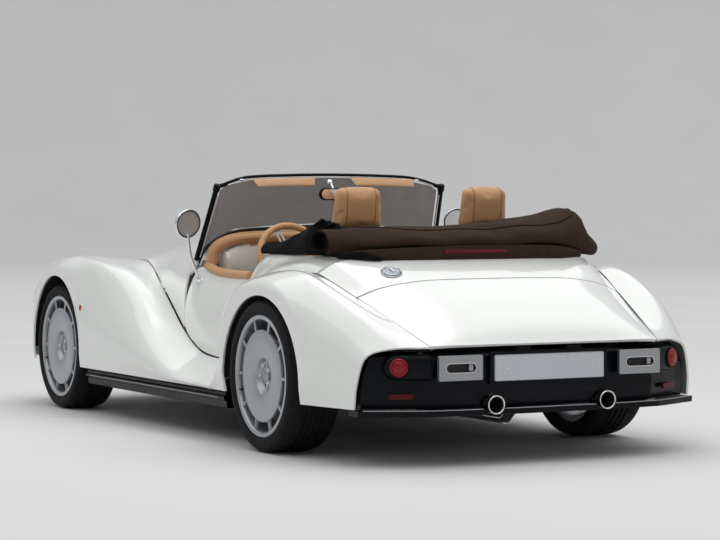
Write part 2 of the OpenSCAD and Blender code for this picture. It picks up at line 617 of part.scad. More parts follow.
module mirror_left() {
  color(silver) mirror_head();
}
module mirror_right() {
  color(silver) right() mirror_head();
}
module sill() {
  translate([0, 0, 190]) linear_extrude(height = 36) polygon([[-668, 700], [1010, 700], [1010, 873],
    [-668, 852]]);
  translate([0, 0, 152]) linear_extrude(height = 40) polygon([[-650, 700], [995, 700], [995, 855],
    [-650, 836]]);
}
module sill_left() {
  color(black) sill();
}
module sill_right() {
  color(black) right() sill();
}

chassis();
engine_block();
front_suspension();
rear_suspension();
knuckle_left();
knuckle_right();
wheel_front_left();
wheel_front_right();
wheel_rear_left();
wheel_rear_right();
tyre_front_left();
tyre_front_right();
tyre_rear_left();
tyre_rear_right();
front_wing_left();
front_wing_right();
rear_wing_left();
rear_wing_right();
bonnet();
scuttle();
nose();
grille();
headlamp_left();
headlamp_right();
door_left();
door_right();
quarter_left();
quarter_right();
rear_deck();
boot_lid();
tail_panel();
sill_left();
sill_right();
exhaust();
tail_lamp_left();
tail_lamp_right();
tail_housing_left();
tail_housing_right();
number_plate();
filler_cap();
windscreen_frame();
windscreen_glass();
dashboard();
steering_column();
steering_wheel();
seat_left();
seat_right();
headrest_left();
headrest_right();
soft_top();
mirror_left();
mirror_right();
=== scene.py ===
import math

import bmesh
import bpy
import numpy as np
from mathutils import Matrix, Vector
from mathutils import noise as mn


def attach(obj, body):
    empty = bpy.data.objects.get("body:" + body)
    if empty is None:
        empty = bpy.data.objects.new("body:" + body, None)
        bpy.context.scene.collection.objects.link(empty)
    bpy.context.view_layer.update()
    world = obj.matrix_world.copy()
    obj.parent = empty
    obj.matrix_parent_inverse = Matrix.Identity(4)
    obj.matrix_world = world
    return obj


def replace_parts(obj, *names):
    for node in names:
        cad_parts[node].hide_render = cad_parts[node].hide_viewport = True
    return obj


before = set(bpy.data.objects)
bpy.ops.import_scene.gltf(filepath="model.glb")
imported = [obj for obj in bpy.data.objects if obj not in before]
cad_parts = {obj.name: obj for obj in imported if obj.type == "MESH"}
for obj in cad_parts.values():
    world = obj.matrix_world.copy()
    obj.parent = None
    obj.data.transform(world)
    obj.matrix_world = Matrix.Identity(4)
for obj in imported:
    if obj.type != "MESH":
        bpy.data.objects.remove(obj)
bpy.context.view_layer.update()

MM = 0.001
ROOT = "body"

# ---------------------------------------------------------------- the car's driving sizes, in metres
WHEELBASE = 2.520
FRONT_X = 1.405
REAR_X = FRONT_X - WHEELBASE
FRONT_R, REAR_R = 0.323, 0.327
FRONT_W, REAR_W = 0.225, 0.245
FRONT_FACE, REAR_FACE = 0.876, 0.884
RIM_R = 0.262
ARCH_F, ARCH_B = FRONT_X - 0.002, REAR_X + 0.002
FRONT_ARCH, REAR_ARCH = (0.345, 0.385, 0.305), (0.390, 0.373, 0.298)  # half length, height, centre height
HALF_W, BOTTOM = 902, 235  # half width and lower edge of the body, in mm
SKIN = 0.009
EXHAUST_Y, EXHAUST_Z = 0.265, 0.249
SIDES = (("left", 1), ("right", -1))
SIDES_FLIPPED = (("left", False), ("right", True))


# ---------------------------------------------------------------- materials
def node(tree, kind, **sockets):
    n = tree.nodes.new(kind)
    for key, value in sockets.items():
        n.inputs[key.replace("_", " ")].default_value = value
    return n


def material(name, color, rough, metal=0.0, grain=60.0, bump=0.02, tint=0.06, coat=0.0, spread=0.04,
             spec=0.5, weave=0.0, alpha=None, sheen=0.0):
    """A shader whose colour, roughness and fine relief vary a little over the surface."""
    m = bpy.data.materials.new(name)
    m.use_nodes = True
    t = m.node_tree
    t.nodes.clear()
    out = t.nodes.new("ShaderNodeOutputMaterial")
    s = t.nodes.new("ShaderNodeBsdfPrincipled")
    s.inputs["Metallic"].default_value = metal
    s.inputs["Coat Weight"].default_value = coat
    s.inputs["Coat Roughness"].default_value = 0.04
    s.inputs["Sheen Weight"].default_value = sheen
    s.inputs["Specular IOR Level"].default_value = spec
    if alpha is not None:
        s.inputs["Alpha"].default_value = alpha
    t.links.new(s.outputs[0], out.inputs[0])
    place = t.nodes.new("ShaderNodeTexCoord")
    noise = node(t, "ShaderNodeTexNoise", Scale=grain, Detail=6.0, Roughness=0.6)
    t.links.new(place.outputs["Object"], noise.inputs["Vector"])
    shade = t.nodes.new("ShaderNodeValToRGB")
    dark = tuple(c * (1 - tint) for c in color)
    light = tuple(min(1.0, c * (1 + tint)) for c in color)
    shade.color_ramp.elements[0].color = (*dark, 1)
    shade.color_ramp.elements[1].color = (*light, 1)
    shade.color_ramp.elements[0].position = 0.3
    shade.color_ramp.elements[1].position = 0.7
    t.links.new(noise.outputs["Fac"], shade.inputs["Fac"])
    t.links.new(shade.outputs["Color"], s.inputs["Base Color"])
    span = node(t, "ShaderNodeMapRange")
    span.inputs["From Min"].default_value = 0.3
    span.inputs["From Max"].default_value = 0.7
    span.inputs["To Min"].default_value = max(0.02, rough - spread)
    span.inputs["To Max"].default_value = min(1.0, rough + spread)
    t.links.new(noise.outputs["Fac"], span.inputs["Value"])
    t.links.new(span.outputs["Result"], s.inputs["Roughness"])
    height = noise.outputs["Fac"]
    if weave:
        waves = []
        for direction in ("X", "Y"):
            w = t.nodes.new("ShaderNodeTexWave")
            w.bands_direction = direction
            w.inputs["Scale"].default_value = weave
            w.inputs["Distortion"].default_value = 0.6
            t.links.new(place.outputs["Object"], w.inputs["Vector"])
            waves.append(w)
        mix = t.nodes.new("ShaderNodeMath")
        mix.operation = "MULTIPLY"
        t.links.new(waves[0].outputs["Fac"], mix.inputs[0])
        t.links.new(waves[1].outputs["Fac"], mix.inputs[1])
        height = mix.outputs[0]
    if bump:
        b = t.nodes.new("ShaderNodeBump")
        b.inputs["Strength"].default_value = bump
        b.inputs["Distance"].default_value = 0.002
        t.links.new(height, b.inputs["Height"])
        t.links.new(b.outputs["Normal"], s.inputs["Normal"])
    return m


PAINT = material("white_paint", (0.78, 0.80, 0.765), 0.22, coat=1.0, grain=3.0, bump=0.0, tint=0.012,
                 spread=0.03)
GLOSS_BLACK = material("gloss_black", (0.003, 0.004, 0.006), 0.20, spec=0.12, grain=8.0, bump=0.0, tint=0.2)
SATIN_BLACK = material("satin_black", (0.005, 0.005, 0.006), 0.5, spec=0.08, grain=120.0, bump=0.05, tint=0.2)
DARK_STEEL = material("dark_steel", (0.028, 0.028, 0.03), 0.55, metal=0.3, grain=90.0, bump=0.1, tint=0.25)
CAST = material("cast_metal", (0.16, 0.16, 0.17), 0.6, metal=0.7, grain=160.0, bump=0.3, tint=0.2)
ALLOY = material("cast_alloy", (0.5, 0.51, 0.52), 0.42, metal=0.9, grain=140.0, bump=0.2, tint=0.1)
WHEEL_SILVER = material("wheel_silver", (0.36, 0.38, 0.40), 0.36, metal=0.75, coat=0.5, grain=300.0, bump=0.02,
                        tint=0.05)
CHROME = material("chrome", (0.78, 0.79, 0.81), 0.07, metal=1.0, grain=20.0, bump=0.0, tint=0.03, spread=0.03)
STEEL = material("polished_steel", (0.62, 0.62, 0.63), 0.16, metal=1.0, grain=60.0, bump=0.02, tint=0.05)
SATIN_METAL = material("satin_metal", (0.36, 0.37, 0.38), 0.38, metal=0.9, grain=220.0, bump=0.04, tint=0.06)
TYRE = material("tyre_rubber", (0.009, 0.009, 0.010), 0.72, spec=0.2, grain=180.0, bump=0.15, tint=0.25)
SEAL = material("black_rubber", (0.009, 0.009, 0.01), 0.6, grain=150.0, bump=0.1, tint=0.2)
TAN = material("tan_leather", (0.50, 0.265, 0.115), 0.5, grain=420.0, bump=0.25, tint=0.1, sheen=0.1)
TAN_DARK = material("tan_stitching", (0.22, 0.10, 0.045), 0.6, grain=300.0, bump=0.2, tint=0.1)
CREAM = material("cream_trim", (0.66, 0.65, 0.58), 0.55, grain=260.0, bump=0.12, tint=0.04)
CANVAS = material("brown_canvas", (0.040, 0.022, 0.016), 0.9, spec=0.12, grain=40.0, bump=0.35, tint=0.22,
                  weave=900.0)
CANVAS_IN = material("black_lining", (0.006, 0.005, 0.005), 0.9, spec=0.12, grain=60.0, bump=0.3, tint=0.2,
                     weave=900.0)
CARPET = material("dark_carpet", (0.035, 0.028, 0.024), 0.95, grain=900.0, bump=0.6, tint=0.3, sheen=0.2)
RED_LENS = material("red_lens", (0.20, 0.002, 0.004), 0.12, spec=0.3, coat=0.15, grain=50.0, bump=0.0,
                    tint=0.12)
RED_STRIP = material("red_strip", (0.070, 0.002, 0.004), 0.25, spec=0.2, grain=90.0, bump=0.0, tint=0.3)
AMBER = material("amber_lens", (0.40, 0.055, 0.008), 0.15, spec=0.3, coat=0.3, grain=50.0, bump=0.0, tint=0.1)
CLEAR = material("clear_glass", (0.9, 0.93, 0.95), 0.04, grain=20.0, bump=0.0, tint=0.02, alpha=0.22,
                 spread=0.02)
SMOKED = material("tinted_glass", (0.20, 0.19, 0.185), 0.05, grain=6.0, bump=0.0, tint=0.03, alpha=0.62,
                  spread=0.02)
CAP_METAL = material("cap_metal", (0.30, 0.32, 0.35), 0.22, metal=1.0, grain=30.0, bump=0.0, tint=0.08)
MIRROR = material("mirror_glass", (0.75, 0.76, 0.78), 0.03, metal=1.0, grain=8.0, bump=0.0, tint=0.02,
                  spread=0.01)
MIRROR_FACE = material("mirror_face", (0.60, 0.61, 0.62), 0.30, metal=0.55, grain=5.0, bump=0.0, tint=0.03)
DIAL = material("dial_black", (0.012, 0.012, 0.014), 0.35, grain=80.0, bump=0.0, tint=0.2, coat=0.6)
MAT = material("rubber_mat", (0.02, 0.017, 0.015), 0.85, grain=500.0, bump=0.5, tint=0.3)
PLATE = material("plate_white", (0.50, 0.53, 0.56), 0.3, grain=4.0, bump=0.0, tint=0.012)
FLOOR = material("studio_floor", (0.66, 0.66, 0.66), 0.75, spec=0.25, grain=0.6, bump=0.0, tint=0.02,
                 spread=0.03)

CAD_LOOK = {"chassis": DARK_STEEL, "engine_block": ALLOY, "front_suspension": DARK_STEEL,
            "rear_suspension": DARK_STEEL, "knuckle_left": CAST, "knuckle_right": CAST, "nose": PAINT,
            "grille": SATIN_METAL, "sill_left": SATIN_BLACK, "sill_right": SATIN_BLACK, "exhaust": STEEL,
            "number_plate": PLATE, "filler_cap": CHROME, "steering_column": SATIN_BLACK, "dashboard": TAN,
            "tail_housing_left": SATIN_METAL, "tail_housing_right": SATIN_METAL, "headlamp_left": CLEAR,
            "headlamp_right": CLEAR, "windscreen_glass": SMOKED, "windscreen_frame": SATIN_BLACK,
            "tail_panel": GLOSS_BLACK, "tail_lamp_left": RED_LENS, "tail_lamp_right": RED_LENS,
            "seat_left": TAN, "seat_right": TAN, "headrest_left": TAN, "headrest_right": TAN,
            "soft_top": CANVAS, "mirror_left": CHROME, "mirror_right": CHROME, "steering_wheel": TAN,}
for name, look in CAD_LOOK.items():
    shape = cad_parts[name]
    shape.data.materials.clear()
    shape.data.materials.append(look)


# ---------------------------------------------------------------- mesh helpers
def mesh_object(name, verts, faces, look, body=ROOT, smooth=True, crease=38.0):
    me = bpy.data.meshes.new(name)
    me.from_pydata([tuple(v) for v in verts], [], [tuple(int(i) for i in f) for f in faces])
    me.validate()
    me.update()
    o = bpy.data.objects.new(name, me)
    bpy.context.scene.collection.objects.link(o)
    for m in (look if isinstance(look, (list, tuple)) else [look]):
        me.materials.append(m)
    bm = bmesh.new()
    bm.from_mesh(me)
    bmesh.ops.recalc_face_normals(bm, faces=bm.faces)
    bm.to_mesh(me)
    bm.free()
    if smooth:
        me.polygons.foreach_set("use_smooth", [True] * len(me.polygons))
        me.set_sharp_from_angle(angle=math.radians(crease))
    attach(o, body)
    return o


def bevel(o, width, segments=2, angle=40.0):
    b = o.modifiers.new("edge", "BEVEL")
    b.width = width
    b.segments = segments
    b.limit_method = "ANGLE"
    b.angle_limit = math.radians(angle)
    b.harden_normals = True
    return o


def slab(name, outer, inner, look, body=ROOT, edge=0.0015):
    """Closed solid between two grids of the same size."""
    a, b = outer.shape[:2]
    k = a * b
    verts = np.concatenate([outer.reshape(-1, 3), inner.reshape(-1, 3)])
    i, j = np.meshgrid(np.arange(a - 1), np.arange(b - 1), indexing="ij")
    p = (i * b + j).ravel()
    quads = np.stack([p, p + b, p + b + 1, p + 1], axis=1)
    faces = [*quads, *(quads[:, ::-1] + k)]
    rim = [*range(b), *[r * b + b - 1 for r in range(1, a)], *[(a - 1) * b + c for c in range(b - 2, -1, -1)],
           *[r * b for r in range(a - 2, 0, -1)]]
    faces += [(p, q, q + k, p + k) for p, q in zip(rim, rim[1:] + rim[:1])]
    o = mesh_object(name, verts, faces, look, body, crease=50.0)
    if edge:
        bevel(o, edge, 2, 55.0)
    return o


def lathe(name, profile, look, body=ROOT, place=None, steps=96):
    """Solid of revolution about Z from (radius, height) points, then moved by the matrix place."""
    angles = np.arange(steps) * 2 * math.pi / steps
    verts = [(r * math.cos(a), r * math.sin(a), z) for a in angles for r, z in profile]
    o = mesh_object(name, transform(verts, place), spun_faces(steps, len(profile)), look, body)
    bm = bmesh.new()
    bm.from_mesh(o.data)
    bmesh.ops.remove_doubles(bm, verts=bm.verts, dist=1e-6)
    bmesh.ops.dissolve_degenerate(bm, edges=bm.edges, dist=1e-7)
    bmesh.ops.recalc_face_normals(bm, faces=bm.faces)
    bm.to_mesh(o.data)
    bm.free()
    return o


def ring_faces(rings, n, closed=False, capped=False):
    """Quads between rings of n points: closed joins the last ring to the first, capped fills both ends."""
    faces = []
    for i in range(rings if closed else rings - 1):
        j = (i + 1) % rings
        faces += [(i * n + k, i * n + (k + 1) % n, j * n + (k + 1) % n, j * n + k) for k in range(n)]
    if capped:
        faces += [tuple(range(n))[::-1], tuple((rings - 1) * n + k for k in range(n))]
    return faces


def prism_faces(n):
    """Both ends and the sides between two rings of n points."""
    return [tuple(range(n))[::-1], tuple(range(n, 2 * n)), *[(k, (k + 1) % n, (k + 1) % n + n, k + n)
                                                             for k in range(n)]]


def spun_faces(steps, n):
    """Quads of a profile of n points turned in steps, closed both ways."""
    return [(s * n + k, (s + 1) % steps * n + k, (s + 1) % steps * n + (k + 1) % n, s * n + (k + 1) % n)
            for s in range(steps) for k in range(n)]


def transform(verts, place):
    if place is None:
        return verts
    return [place @ Vector(v) for v in verts]


def box(name, lo, hi, look, body=ROOT, edge=0.002, place=None):
    (x0, y0, z0), (x1, y1, z1) = lo, hi
    verts = [(x, y, z) for x in (x0, x1) for y in (y0, y1) for z in (z0, z1)]
    faces = [(0, 1, 3, 2), (4, 6, 7, 5), (0, 4, 5, 1), (2, 3, 7, 6), (0, 2, 6, 4), (1, 5, 7, 3)]
    o = mesh_object(name, transform(verts, place), faces, look, body, smooth=False)
    if edge:
        bevel(o, edge, 3)
    return o


def tube(name, points, radius, look, body=ROOT, closed=False, steps=16, flat=1.0):
    """Round bar along points; radius may be one number or one per point. flat squashes it along Z."""
    pts = [Vector(p) for p in points]
    radii = radius if isinstance(radius, (list, tuple)) else [radius] * len(pts)
    verts = []
    n = len(pts)
    side = None
    for i, p in enumerate(pts):
        before = pts[i - 1] if (i or closed) else p
        after = pts[(i + 1) % n] if (i < n - 1 or closed) else p
        d = (after - before).normalized()
        if side is None:
            side = d.cross(Vector((0, 0, 1)))
            if side.length < 0.1:
                side = d.cross(Vector((1, 0, 0)))
        side = (side - d * side.dot(d)).normalized()
        up = d.cross(side)
        for s in range(steps):
            a = 2 * math.pi * s / steps
            verts.append(p + (side * math.cos(a) + up * math.sin(a) * flat) * radii[i])
    return mesh_object(name, verts, ring_faces(n, steps, closed, not closed), look, body)


def curve(points, count=24):
    """Smooth line through a few points."""
    rows = np.array([[i, *p] for i, p in enumerate(points)], float)
    return [Vector(line_at(rows, u)) for u in np.linspace(0, len(points) - 1, count)]


def frame_matrix(origin, z_axis, x_hint=(1, 0, 0)):
    z = Vector(z_axis).normalized()
    x = Vector(x_hint)
    x = (x - z * x.dot(z)).normalized()
    y = z.cross(x)
    m = Matrix((x, y, z)).transposed().to_4x4()
    m.translation = Vector(origin)
    return m


def mirror_y(g):
    return g * np.array([1, -1, 1])


# ---------------------------------------------------------------- body surface: lines, then sections
def slopes(rows):
    s = np.empty_like(rows)
    s[1:-1] = (rows[2:] - rows[:-2]) / (rows[2:, :1] - rows[:-2, :1])
    s[0] = (rows[1] - rows[0]) / (rows[1, 0] - rows[0, 0])
    s[-1] = (rows[-1] - rows[-2]) / (rows[-1, 0] - rows[-2, 0])
    return s


def line_at(rows, u):
    """Point of the smooth line through rows of [u, x, y, z]."""
    rows = np.asarray(rows, float)
    i = int(np.clip(np.searchsorted(rows[:, 0], u, side="right") - 1, 0, len(rows) - 2))
    h = rows[i + 1, 0] - rows[i, 0]
    s = (u - rows[i, 0]) / h
    m = slopes(rows)
    return ((2 * s ** 3 - 3 * s ** 2 + 1) * rows[i] + (s ** 3 - 2 * s ** 2 + s) * h * m[i]
            + (3 * s ** 2 - 2 * s ** 3) * rows[i + 1] + (s ** 3 - s ** 2) * h * m[i + 1])[1:]


def surface(lines, us, vs):
    """Grid of points, in metres, from lines given as rows in mm or as functions of u."""
    table = np.array([[f(u) if callable(f) else line_at(f, u) for u in us] for f in lines])
    flat = np.concatenate([np.arange(len(lines))[:, None], table.reshape(len(lines), -1)], axis=1)
    grid = np.array([line_at(flat, v) for v in vs])
    return grid.reshape(len(vs), len(us), 3).transpose(1, 0, 2) * MM


def normals(g):
    du = np.gradient(g, axis=0)
    dv = np.gradient(g, axis=1)
    n = np.cross(du, dv)
    return n / np.maximum(np.linalg.norm(n, axis=2, keepdims=True), 1e-9)


def both(lines):
    """Lines from the left edge to the centre, then the same on the right."""
    flip = [[[q[0], q[1], -q[2], q[3]] for q in t] for t in reversed(lines[:-1])]
    return [*lines, *flip]


def arch_line(cx, arch, y, u0, u1, backwards=False):
    """The lip of a wheel arch as a function of u, in mm."""
    half, high, base = arch

    def point(u):
        a = math.pi * (u - u0) / (u1 - u0)
        x = -math.cos(a) * half if not backwards else math.cos(a) * half
        return np.array([(cx + x) / MM, y, (base + high * math.sin(a)) / MM])
    return point


def lower_edge(before, arch, u0, u1, after):
    """Straight lower edge, arch lip, straight lower edge."""
    def point(u):
        if u0 <= u <= u1:
            return arch(u)
        rows = np.array(before if u < u0 else after, float)
        return np.array([np.interp(u, rows[:, 0], rows[:, k]) for k in (1, 2, 3)])
    return point


A0, A1 = 6.25, 12.75
front_lip = arch_line(ARCH_F, FRONT_ARCH, 892, A0, A1)
F_BACK, F_AHEAD = (ARCH_F - FRONT_ARCH[0]) / MM, (ARCH_F + FRONT_ARCH[0]) / MM
WING_F = [
    lower_edge([[0, -556, 864, BOTTOM], [6, F_BACK, 886, BOTTOM], [A0, *front_lip(A0)]],
               front_lip, A0, A1, [[A1, *front_lip(A1)], [13, F_AHEAD, 884, BOTTOM + 5]]),
    [[0, -556, 872, 241], [2, -44, 880, 268], [3, 202, 891, 322], [4, 458, 898, 378],
     [5, 725, HALF_W, 430], [6, 990, HALF_W, 480], [7, 1058, 901, 575], [8, 1136, 899, 660],
     [9.5, 1405, 896, 718], [11, 1700, 893, 610], [12, 1775, 884, 480], [13, 1800, 870, 240]],
    [[0, -556, 852, 248], [1, -300, 850, 262], [2, -44, 848, 309], [3, 202, 848, 414],
     [4, 458, 848, 532], [5, 725, 854, 660], [6, 932, 860, 732], [8, 1140, 866, 752],
     [9.5, 1410, 866, 752], [11, 1740, 852, 660], [12, 1910, 822, 515], [13, 1950, 796, 240]],
    [[0, -556, 775, 290], [1, -300, 775, 300], [2, -44, 775, 336], [3, 202, 775, 440],
     [4, 458, 775, 604], [5, 680, 776, 722], [6, 905, 778, 767], [8, 1188, 778, 793],
     [9.5, 1430, 775, 787], [10.5, 1655, 760, 764], [11, 1815, 750, 722],
     [12, 2020, 725, 560], [13, 2048, 700, 240]],
    [[0, -556, 690, 346], [1, -300, 692, 346], [2, -44, 690, 366], [3, 202, 674, 455],
     [4, 458, 632, 562], [5, 700, 590, 662], [6, 930, 548, 746], [8, 1160, 505, 770],
     [9.5, 1430, 455, 745], [11, 1780, 385, 660], [12, 1975, 345, 520], [13, 2030, 330, 240]],
]
B0, B1 = 1.25, 7.75
rear_lip = arch_line(ARCH_B, REAR_ARCH, 884, B0, B1, backwards=True)
R_AHEAD, R_BACK = (ARCH_B + REAR_ARCH[0]) / MM, (ARCH_B - REAR_ARCH[0]) / MM
WING_R = [
    lower_edge([[0, -550, 864, BOTTOM], [1, R_AHEAD, 870, BOTTOM], [B0, *rear_lip(B0)]],
               rear_lip, B0, B1, [[B1, *rear_lip(B1)], [8, R_BACK, 876, BOTTOM], [9, -1850, 806, BOTTOM]]),
    [[0, -550, 872, 241], [1, -690, 882, 360], [2, -722, 888, 520], [3, -846, 891, 645],
     [4.5, ARCH_B / MM, 891, 704], [6, -1380, 890, 645], [7, -1510, 885, 520], [8, -1620, 876, 400],
     [9, -1862, 802, 330]],
    [[0, -550, 852, 248], [1, -676, 858, 420], [2, -716, 862, 600], [3, -850, 864, 700],
     [4.5, ARCH_B / MM, 865, 742], [6, -1350, 864, 705], [7, -1530, 855, 622], [8, -1690, 838, 535],
     [9, -1880, 768, 445]],
    [[0, -550, 775, 290], [1, -640, 780, 520], [2, -715, 783, 650], [3, -850, 784, 728],
     [4.5, -1100, 784, 772], [6, -1350, 780, 765], [7, -1560, 765, 700], [8, -1740, 735, 612],
     [9, -1925, 680, 480]],
    [[0, -550, 690, 346], [1, -590, 696, 540], [2, -690, 702, 660], [3, -840, 706, 728],
     [4.5, -1090, 708, 765], [6, -1310, 697, 759], [7, -1563, 641, 667], [8, -1770, 596, 587],
     [9, -2008, 546, 488]],
]
BONNET = both([
    [[3, 218, 668, 468], [4, 458, 627, 568], [5, 700, 585, 668], [6, 930, 543, 751],
     [8, 1160, 500, 775], [9.5, 1430, 450, 750], [11, 1765, 380, 668], [12, 1930, 350, 580]],
    [[3, 196, 662, 690], [4, 458, 607, 745], [5, 715, 545, 775], [6, 950, 490, 790],
     [8, 1170, 430, 790], [9.5, 1440, 375, 758], [11, 1775, 305, 676], [12, 1948, 275, 594]],
    [[3, 190, 570, 872], [4, 458, 505, 862], [5, 725, 440, 846], [6, 960, 385, 832],
     [8, 1175, 335, 812], [9.5, 1445, 285, 770], [11, 1785, 225, 690], [12, 1965, 200, 612]],
    [[3, 190, 330, 928], [4, 458, 290, 902], [5, 725, 250, 878], [6, 965, 215, 855],
     [8, 1180, 185, 830], [9.5, 1450, 155, 786], [11, 1795, 120, 708], [12, 1985, 105, 626]],
    [[3, 190, 0, 942], [4, 458, 0, 914], [5, 725, 0, 889], [6, 970, 0, 863],
     [8, 1185, 0, 837], [9.5, 1455, 0, 793], [11, 1800, 0, 716], [12, 1993, 0, 632]],
])
SCUTTLE = both([
    [[0, 160, 646, 742], [1, 188, 654, 724]],
    [[0, 148, 613, 815], [1, 185, 622, 800]],
    [[0, 142, 560, 879], [1, 185, 568, 874]],
    [[0, 129, 330, 934], [1, 185, 330, 929]],
    [[0, 119, 0, 948], [1, 185, 0, 943]],
])
DOOR = [
    [[0, 211, 668, 477], [1, 116, 683, 430], [2, -44, 690, 374], [3, -220, 692, 354],
     [4, -380, 692, 352], [5, -466, 691, 370]],
    [[0, 189, 676, 560], [1, 102, 688, 530], [2, -44, 696, 490], [3, -220, 698, 475],
     [4, -380, 698, 475], [5, -490, 696, 490]],
    [[0, 156, 666, 660], [1, 80, 676, 655], [2, -50, 684, 625], [3, -220, 686, 612],
     [4, -380, 686, 612], [5, -496, 685, 615]],
    [[0, 104, 644, 752], [1, 40, 645, 762], [2, -50, 646, 738], [3, -220, 646, 724],
     [4, -380, 646, 722], [5, -496, 644, 722]],
]
QUARTER = [
    [[0, -476, 691, 357], [1, -541, 690, 362], [2, -581, 694, 542], [3, -682, 700, 665],
     [4, -838, 704, 734], [5, -1090, 706, 771], [6, -1292, 697, 767]],
    [[0, -496, 696, 480], [1, -545, 694, 490], [2, -592, 692, 610], [3, -692, 694, 704],
     [4, -842, 692, 766], [5, -1090, 688, 796], [6, -1298, 676, 785]],
    [[0, -502, 685, 612], [1, -548, 682, 640], [2, -600, 672, 716], [3, -702, 662, 772],
     [4, -850, 652, 800], [5, -1092, 645, 815], [6, -1308, 632, 802]],
    [[0, -502, 646, 722], [1, -540, 628, 782], [2, -610, 606, 828], [3, -720, 600, 836],
     [4, -880, 600, 834], [5, -1096, 595, 831], [6, -1322, 580, 818]],
    [[0, -502, 606, 716], [1, -540, 580, 776], [2, -610, 556, 826], [3, -720, 550, 836],
     [4, -880, 550, 836], [5, -1098, 545, 834], [6, -1330, 530, 822]],
]
DECK = both([
    [[0, -1299, 691, 767], [1, -1428, 667, 720], [2, -1548, 640, 673]],
    [[0, -1325, 590, 819], [1, -1450, 560, 770], [2, -1570, 530, 713]],
    [[0, -1370, 400, 828], [1, -1480, 380, 786], [2, -1590, 370, 737]],
    [[0, -1395, 200, 828], [1, -1492, 200, 790], [2, -1598, 200, 743]],
    [[0, -1402, 0, 828], [1, -1496, 0, 791], [2, -1600, 0, 744]],
])
LID = both([
    [[0, -1554, 637, 670], [1, -1763, 590, 586], [2, -1930, 555, 519], [3, -2003, 540, 490]],
    [[0, -1576, 528, 710], [1, -1775, 500, 622], [2, -1950, 470, 537], [3, -2018, 460, 492]],
    [[0, -1596, 370, 734], [1, -1788, 350, 648], [2, -1962, 330, 552], [3, -2026, 330, 492]],
    [[0, -1604, 200, 740], [1, -1796, 180, 656], [2, -1968, 170, 560], [3, -2030, 170, 492]],
    [[0, -1606, 0, 741], [1, -1800, 0, 658], [2, -1970, 0, 562], [3, -2032, 0, 492]],
])


def stations(parts):
    """Values of u: (start, end, steps) stretches joined."""
    out = []
    for a, b, n in parts:
        out += list(np.linspace(a, b, n, endpoint=False))
    return out + [parts[-1][1]]


def panel(name, lines, us, vs, depth, look, replaced, body=ROOT, flip=False):
    """Skin of the given depth behind a surface, on the left, or mirrored to the right."""
    g = surface(lines, us, vs)
    inner = g + normals(g) * depth
    if flip:
        g, inner = mirror_y(g), mirror_y(inner)
    o = slab(name, g, inner, look, body)
    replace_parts(o, replaced)
    return o


V_WING = np.linspace(0, 4, 41)
U_FRONT = stations([(0, 6, 56), (6, A0, 2), (A0, A1, 60), (A1, 13, 3)])
U_REAR = stations([(0, 1, 8), (1, B0, 2), (B0, B1, 60), (B1, 8, 2), (8, 9, 14)])
for side, flip in SIDES_FLIPPED:
    panel(f"front_wing_skin_{side}", WING_F, U_FRONT, V_WING, SKIN, PAINT, f"front_wing_{side}", flip=flip)
    panel(f"rear_wing_skin_{side}", WING_R, U_REAR, V_WING, -SKIN, PAINT, f"rear_wing_{side}", flip=flip)
    panel(f"door_skin_{side}", DOOR, stations([(0, 5, 40)])[::-1], np.linspace(0, 3, 25), 0.062, PAINT,
          f"door_{side}", body=f"{side}_door", flip=flip)
    panel(f"quarter_skin_{side}", QUARTER, stations([(0, 6, 60)]), np.linspace(0, 4, 33), -0.014, PAINT,
          f"quarter_{side}", flip=flip)
V_FULL = np.linspace(0, 8, 81)
panel("bonnet_skin", BONNET, stations([(3, 12, 90)]), V_FULL, 0.010, PAINT, "bonnet", body="bonnet_lid")
panel("scuttle_skin", SCUTTLE, stations([(0, 1, 6)]), V_FULL, 0.014, PAINT, "scuttle")
panel("deck_skin", DECK, stations([(0, 2, 20)]), V_FULL, -0.012, PAINT, "rear_deck")
panel("boot_lid_skin", LID, stations([(0, 3, 40)]), V_FULL, -0.014, PAINT, "boot_lid", body="boot")


# ---------------------------------------------------------------- wheels, tyres and brakes
def joined(name, parts, body=ROOT):
    """One object out of several that ride on the same body."""
    bm = bmesh.new()
    looks = []
    for o in parts:
        start = len(bm.faces)
        depsgraph = bpy.context.evaluated_depsgraph_get()
        me = bpy.data.meshes.new_from_object(o.evaluated_get(depsgraph))
        bm.from_mesh(me)
        bm.faces.ensure_lookup_table()
        index = [looks.index(m) if m in looks else (looks.append(m) or len(looks) - 1) for m in me.materials]
        for f in bm.faces[start:]:
            f.material_index = index[f.material_index]
        bpy.data.meshes.remove(me)
    me = bpy.data.meshes.new(name)
    bm.to_mesh(me)
    bm.free()
    for m in looks:
        me.materials.append(m)
    o = bpy.data.objects.new(name, me)
    bpy.context.scene.collection.objects.link(o)
    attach(o, body)
    for part in parts:
        drop(part)
    return o


def drop(o):
    me = o.data
    bpy.data.objects.remove(o)
    if me.users == 0:
        bpy.data.meshes.remove(me)


def hexagon(name, r, low, high, look, body, place):
    verts = [(r * math.cos(a), r * math.sin(a), z) for z in (low, high)
             for a in [k * math.pi / 3 for k in range(6)]]
    return bevel(mesh_object(name, transform(verts, place), prism_faces(6), look, body, smooth=False), r * 0.12)


